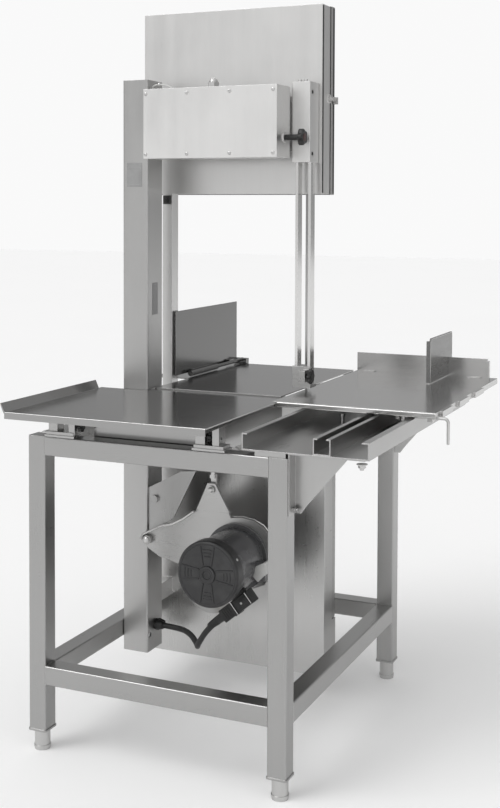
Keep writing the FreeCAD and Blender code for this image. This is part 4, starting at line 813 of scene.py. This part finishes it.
def toothed_blade():
    """Endless saw band with teeth on its leading edge; it stands for the plain CAD strip."""
    lo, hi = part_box("blade")
    outer = (hi.x - lo.x) / 2
    thick = 0.6 * MM
    cx = (hi.x + lo.x) / 2
    z_low = lo.z + outer
    z_high = hi.z - outer
    straight = z_high - z_low
    arc = math.pi * outer
    total = 2 * (straight + arc)
    teeth = int(total / (6.35 * MM))
    pitch = total / teeth
    tooth = 2.6 * MM

    def place(s, r):
        """Point at distance s along the loop, r from the loop's centreline of wheel centres."""
        if s < straight:
            return cx + r, z_low + s
        s -= straight
        if s < arc:
            a = s / outer
            return cx + r * math.cos(a), z_high + r * math.sin(a)
        s -= arc
        if s < straight:
            return cx - r, z_high - s
        a = math.pi + (s - straight) / outer
        return cx + r * math.cos(a), z_low + r * math.sin(a)

    bm = bmesh.new()
    rows = []
    for k in range(teeth):
        for share, edge in ((0.0, hi.y), (0.22, hi.y - tooth), (0.6, hi.y - tooth * 0.75)):
            s = (k + share) * pitch
            row = []
            for r in (outer, outer - thick):
                x, z = place(s, r)
                row.append(bm.verts.new((x, lo.y, z)))
                row.append(bm.verts.new((x, edge, z)))
            rows.append(row)
    for a, b in zip(rows, rows[1:] + rows[:1]):
        for p, q in ((0, 1), (1, 3), (3, 2), (2, 0)):
            bm.faces.new((a[p], a[q], b[q], b[p]))
    piece = add_piece("toothed_blade", bm, "strip", "machine", 50.0)
    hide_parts("blade")


# Node, body, axis, lobes, whether it points back, head length, stem and stud radius in mm, look of the cap
KNOBS = [("clamp_knob", "post_clamp", "X", 5, False, 18, 7.5, 5, "cap"),
         ("guide_knob", "guide_star", "X", 8, False, 12, 7.5, 4, "plastic"),
         ("gauge_knob", "gauge_clamp", "Y", 6, False, 14, 6.5, 4, "plastic"),
         ("support_knob_left", "bearer_knob_left", "X", 7, False, 12, 5.8, 4, "plastic"),
         ("support_knob_right", "bearer_knob_right", "X", 7, True, 12, 5.8, 4, "plastic")]


def knob(node, body, axis, lobes, flip, head, stem, stud, cap):
    """Moulded clamping knob with its cap, in the CAD knob's place."""
    name = node + "_moulded"
    head, stem, stud = head * MM, stem * MM, stud * MM
    lo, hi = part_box(node)
    i = "XY".index(axis)
    radius = min(hi[k] - lo[k] for k in range(3) if k != i) / 2
    face = hi[i] - lo[i]
    back = face - head
    direction = -[X, Y][i] if flip else [X, Y][i]
    foot = (lo + hi) / 2
    foot[i] = hi[i] if flip else lo[i]
    shape = lobed(lobes, 0.13)
    soft = lobed(lobes, 0.06)
    reach = 0.999 * radius
    rings = [(0.0, stud * 0.9, circle), (0.6 * MM, stud, circle), (12 * MM, stud, circle),
             (12.2 * MM, stem, circle), (back, stem * 1.1, circle), (back + 0.5 * MM, reach * 0.7, soft),
             (back + 2 * MM, reach * 0.93, shape), (back + 4 * MM, reach, shape),
             (face - 3 * MM, reach, shape), (face - 1 * MM, reach * 0.94, shape),
             (face - 0.2 * MM, reach * 0.82, soft), (face - 1.2 * MM, reach * 0.5, circle)]
    bm = bmesh.new()
    turned(bm, rings, foot, direction, lobes * 12)
    piece = add_piece(name, bm, "plastic", body, 40.0)
    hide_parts(node)
    bm = bmesh.new()
    turned(bm, [(-1.6 * MM, reach * 0.46, circle), (-0.5 * MM, reach * 0.46, circle),
                (-0.1 * MM, reach * 0.4, circle), (-0.05 * MM, reach * 0.2, circle)],
           foot + direction * face, direction, 40)
    add_piece(name + "_cap", bm, cap, body)


def bent_lever():
    """Lever with a rounded elbow and a flattened cam, in the CAD lever's place."""
    lo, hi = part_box("lock_lever")
    r = 4.0 * MM
    y = (lo.y + hi.y) / 2
    z = hi.z - r
    x1 = hi.x - r
    bend = 11 * MM
    points = [(lo.x, y, z), (x1 - bend, y, z)]
    for i in range(1, 9):
        a = math.radians(90 * i / 8)
        points.append((x1 - bend + bend * math.sin(a), y, z - bend + bend * math.cos(a)))
    points.append((x1, y, lo.z + 3 * MM))
    bm = bmesh.new()
    tube(bm, points, r, 16)
    turned(bm, [(0, r, circle), (1.5 * MM, r * 0.9, circle), (2.8 * MM, r * 0.5, circle)],
           Vector((x1, y, lo.z + 3 * MM)), -Z, 16)
    block(bm, (lo.x + 9 * MM, y - r, z - 12 * MM), (lo.x + 19 * MM, y + r, z), 1 * MM)
    piece = add_piece("lock_lever_bar", bm, "zinc", "table_lock")
    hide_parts("lock_lever")


def terminal_piece():
    """Pale clip-on cover over the motor's terminal box."""
    bm = bmesh.new()
    outline = [(490.5, 432.5), (502.1, 458.4), (533.0, 474.0), (533.5, 440.0), (508.2, 415.0)]
    points = [Vector(((x - STAND_CENTRE_X) * MM, TERMINAL_FRONT_Y, z * MM)) for x, z in outline]
    front = [bm.verts.new(p) for p in points]
    back = [bm.verts.new(p + Vector((0, 23 * MM, 0))) for p in points]
    bm.faces.new(front)
    bm.faces.new(list(reversed(back)))
    for i in range(len(front)):
        j = (i + 1) % len(front)
        bm.faces.new((front[i], front[j], back[j], back[i]))
    bmesh.ops.bevel(bm, geom=list(bm.edges), offset=2.5 * MM, segments=2, profile=0.5, affect="EDGES")
    add_piece("terminal_cover", bm, "pale", "motor_carrier")


def door_details():
    """Dark rubber ring round the inside of the upper door."""
    lo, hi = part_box("upper_door")
    inset = 0.6 * MM
    right = hi.x - inset
    bm = bmesh.new()
    frame_strip(bm, (right - 566.8 * MM, DOOR_RING_Y[0], lo.z + inset), (right, DOOR_RING_Y[1], hi.z - inset),
                7 * MM, 1)
    add_piece("upper_door_dark_ring", bm, "rubber", "head_door")


def head_rubber_strips():
    """Dark rubber strip on the housing's side just behind the head's front plate, and rubber lip round the
    door's free edge.
    """
    hlo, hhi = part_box("upper_housing")
    dlo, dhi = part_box("upper_door")
    # The housing's box reaches out to the latch boss, so its side and front come from the door's box
    side = dhi.x - 2 * MM
    front = dhi.y - 94 * MM
    bm = bmesh.new()
    block(bm, (side - 0.3 * MM, front + 1 * MM, hlo.z + 3 * MM),
          (side + 0.2 * MM, front + 12 * MM, hhi.z - 3 * MM), 0.1 * MM, 1)
    add_piece("head_side_dark_strip", bm, "rubber", "machine")
    bm = bmesh.new()
    block(bm, (dhi.x - 0.3 * MM, dhi.y - 12 * MM, dlo.z + 3 * MM),
          (dhi.x + 0.5 * MM, dhi.y - 1 * MM, dhi.z - 3 * MM), 0.2 * MM, 1)
    add_piece("upper_door_lip", bm, "rubber", "head_door")


# ------------------------------------------------------------------ stage
def make_stage():
    bm = bmesh.new()
    bmesh.ops.create_grid(bm, x_segments=8, y_segments=8, size=30.0)
    data = bpy.data.meshes.new("floor")
    bm.to_mesh(data)
    bm.free()
    s = Shader("floor_pale")
    soft = s.noise(s.coord, 0.6, 2.0)
    s.link(s.mix(soft, (0.86, 0.86, 0.86), (0.89, 0.89, 0.89)), s.bsdf.inputs["Base Color"])
    s.set(Roughness=0.8, Emission_Color=(1.0, 1.0, 1.0, 1.0), Emission_Strength=0.12)
    data.materials.append(s.material)
    floor = bpy.data.objects.new("floor", data)
    bpy.context.scene.collection.objects.link(floor)


def area_light(name, place, target, size, power):
    data = bpy.data.lights.new(name, "AREA")
    data.shape = "RECTANGLE"
    data.size, data.size_y = size
    data.energy = power
    light = bpy.data.objects.new(name, data)
    light.location = place
    aim = Vector(target) - Vector(place)
    light.rotation_euler = aim.to_track_quat("-Z", "Y").to_euler()
    bpy.context.scene.collection.objects.link(light)


def make_light():
    """White backdrop, a room that is bright in front and dark behind, a soft sun and one fill."""
    world = bpy.data.worlds.new("studio")
    bpy.context.scene.world = world
    world.use_nodes = True
    tree = world.node_tree
    tree.nodes.clear()
    links = tree.links
    out = tree.nodes.new("ShaderNodeOutputWorld")
    shown = tree.nodes.new("ShaderNodeBackground")
    around = tree.nodes.new("ShaderNodeBackground")
    coord = tree.nodes.new("ShaderNodeTexCoord")
    split = tree.nodes.new("ShaderNodeSeparateXYZ")
    links.new(coord.outputs["Generated"], split.inputs[0])
    shown.inputs["Color"].default_value = (BACKDROP, BACKDROP, BACKDROP, 1.0)

    def graded(axis, low, high, stops):
        span = tree.nodes.new("ShaderNodeMapRange")
        span.inputs["From Min"].default_value = low
        span.inputs["From Max"].default_value = high
        ramp = tree.nodes.new("ShaderNodeValToRGB")
        while len(ramp.color_ramp.elements) < len(stops):
            ramp.color_ramp.elements.new(0.5)
        for element, (at, value) in zip(ramp.color_ramp.elements, stops):
            element.position = at
            element.color = (value, value, value, 1.0)
        links.new(split.outputs[axis], span.inputs["Value"])
        links.new(span.outputs["Result"], ramp.inputs["Fac"])
        return ramp.outputs["Color"]

    height = graded("Z", -1.0, 1.0, ((0.0, 0.5), (0.5, 0.72), (0.65, 0.88), (1.0, 1.0)))
    depth = graded("Y", -1.0, 1.0, ((0.0, 1.0), (0.45, 0.88), (0.75, 0.58), (1.0, 0.46)))
    width = graded("X", -1.0, 1.0, ((0.0, 0.62), (0.2, 0.78), (0.35, 1.12), (0.6, 1.12), (0.8, 0.9),
                                    (1.0, 0.6)))

    def times(a, b):
        node = tree.nodes.new("ShaderNodeMix")
        node.data_type = "RGBA"
        node.blend_type = "MULTIPLY"
        node.inputs[0].default_value = 1.0
        links.new(a, node.inputs[MIX_A])
        links.new(b, node.inputs[MIX_B])
        return node.outputs[MIX_RESULT]

    links.new(times(times(height, depth), width), around.inputs["Color"])
    around.inputs["Strength"].default_value = WORLD_LEVEL
    mix = tree.nodes.new("ShaderNodeMixShader")
    path = tree.nodes.new("ShaderNodeLightPath")
    links.new(path.outputs["Is Camera Ray"], mix.inputs[0])
    links.new(around.outputs[0], mix.inputs[1])
    links.new(shown.outputs[0], mix.inputs[2])
    links.new(mix.outputs[0], out.inputs["Surface"])
    sun = bpy.data.lights.new("key", "SUN")
    sun.energy = 1.1
    sun.angle = math.radians(36)
    holder = bpy.data.objects.new("key", sun)
    holder.rotation_euler = Vector((2.6, 3.0, -3.6)).to_track_quat("-Z", "Y").to_euler()
    bpy.context.collection.objects.link(holder)
    area_light("fill", (3.8, -1.4, 1.6), (0, 0, 0.9), (1.2, 2.4), 8.0)


# ------------------------------------------------------------------ build
make_camera()
make_lead()
paint_nodes()
beam_details()
plates()
door_details()
head_rubber_strips()
fan_cover()
carrier_bolts()
terminal_piece()
table_edges()
connector_details()
tray_bolts()
stand_welds()
toothed_blade()
bent_lever()
for row in KNOBS:
    knob(*row)
make_stage()
make_light()
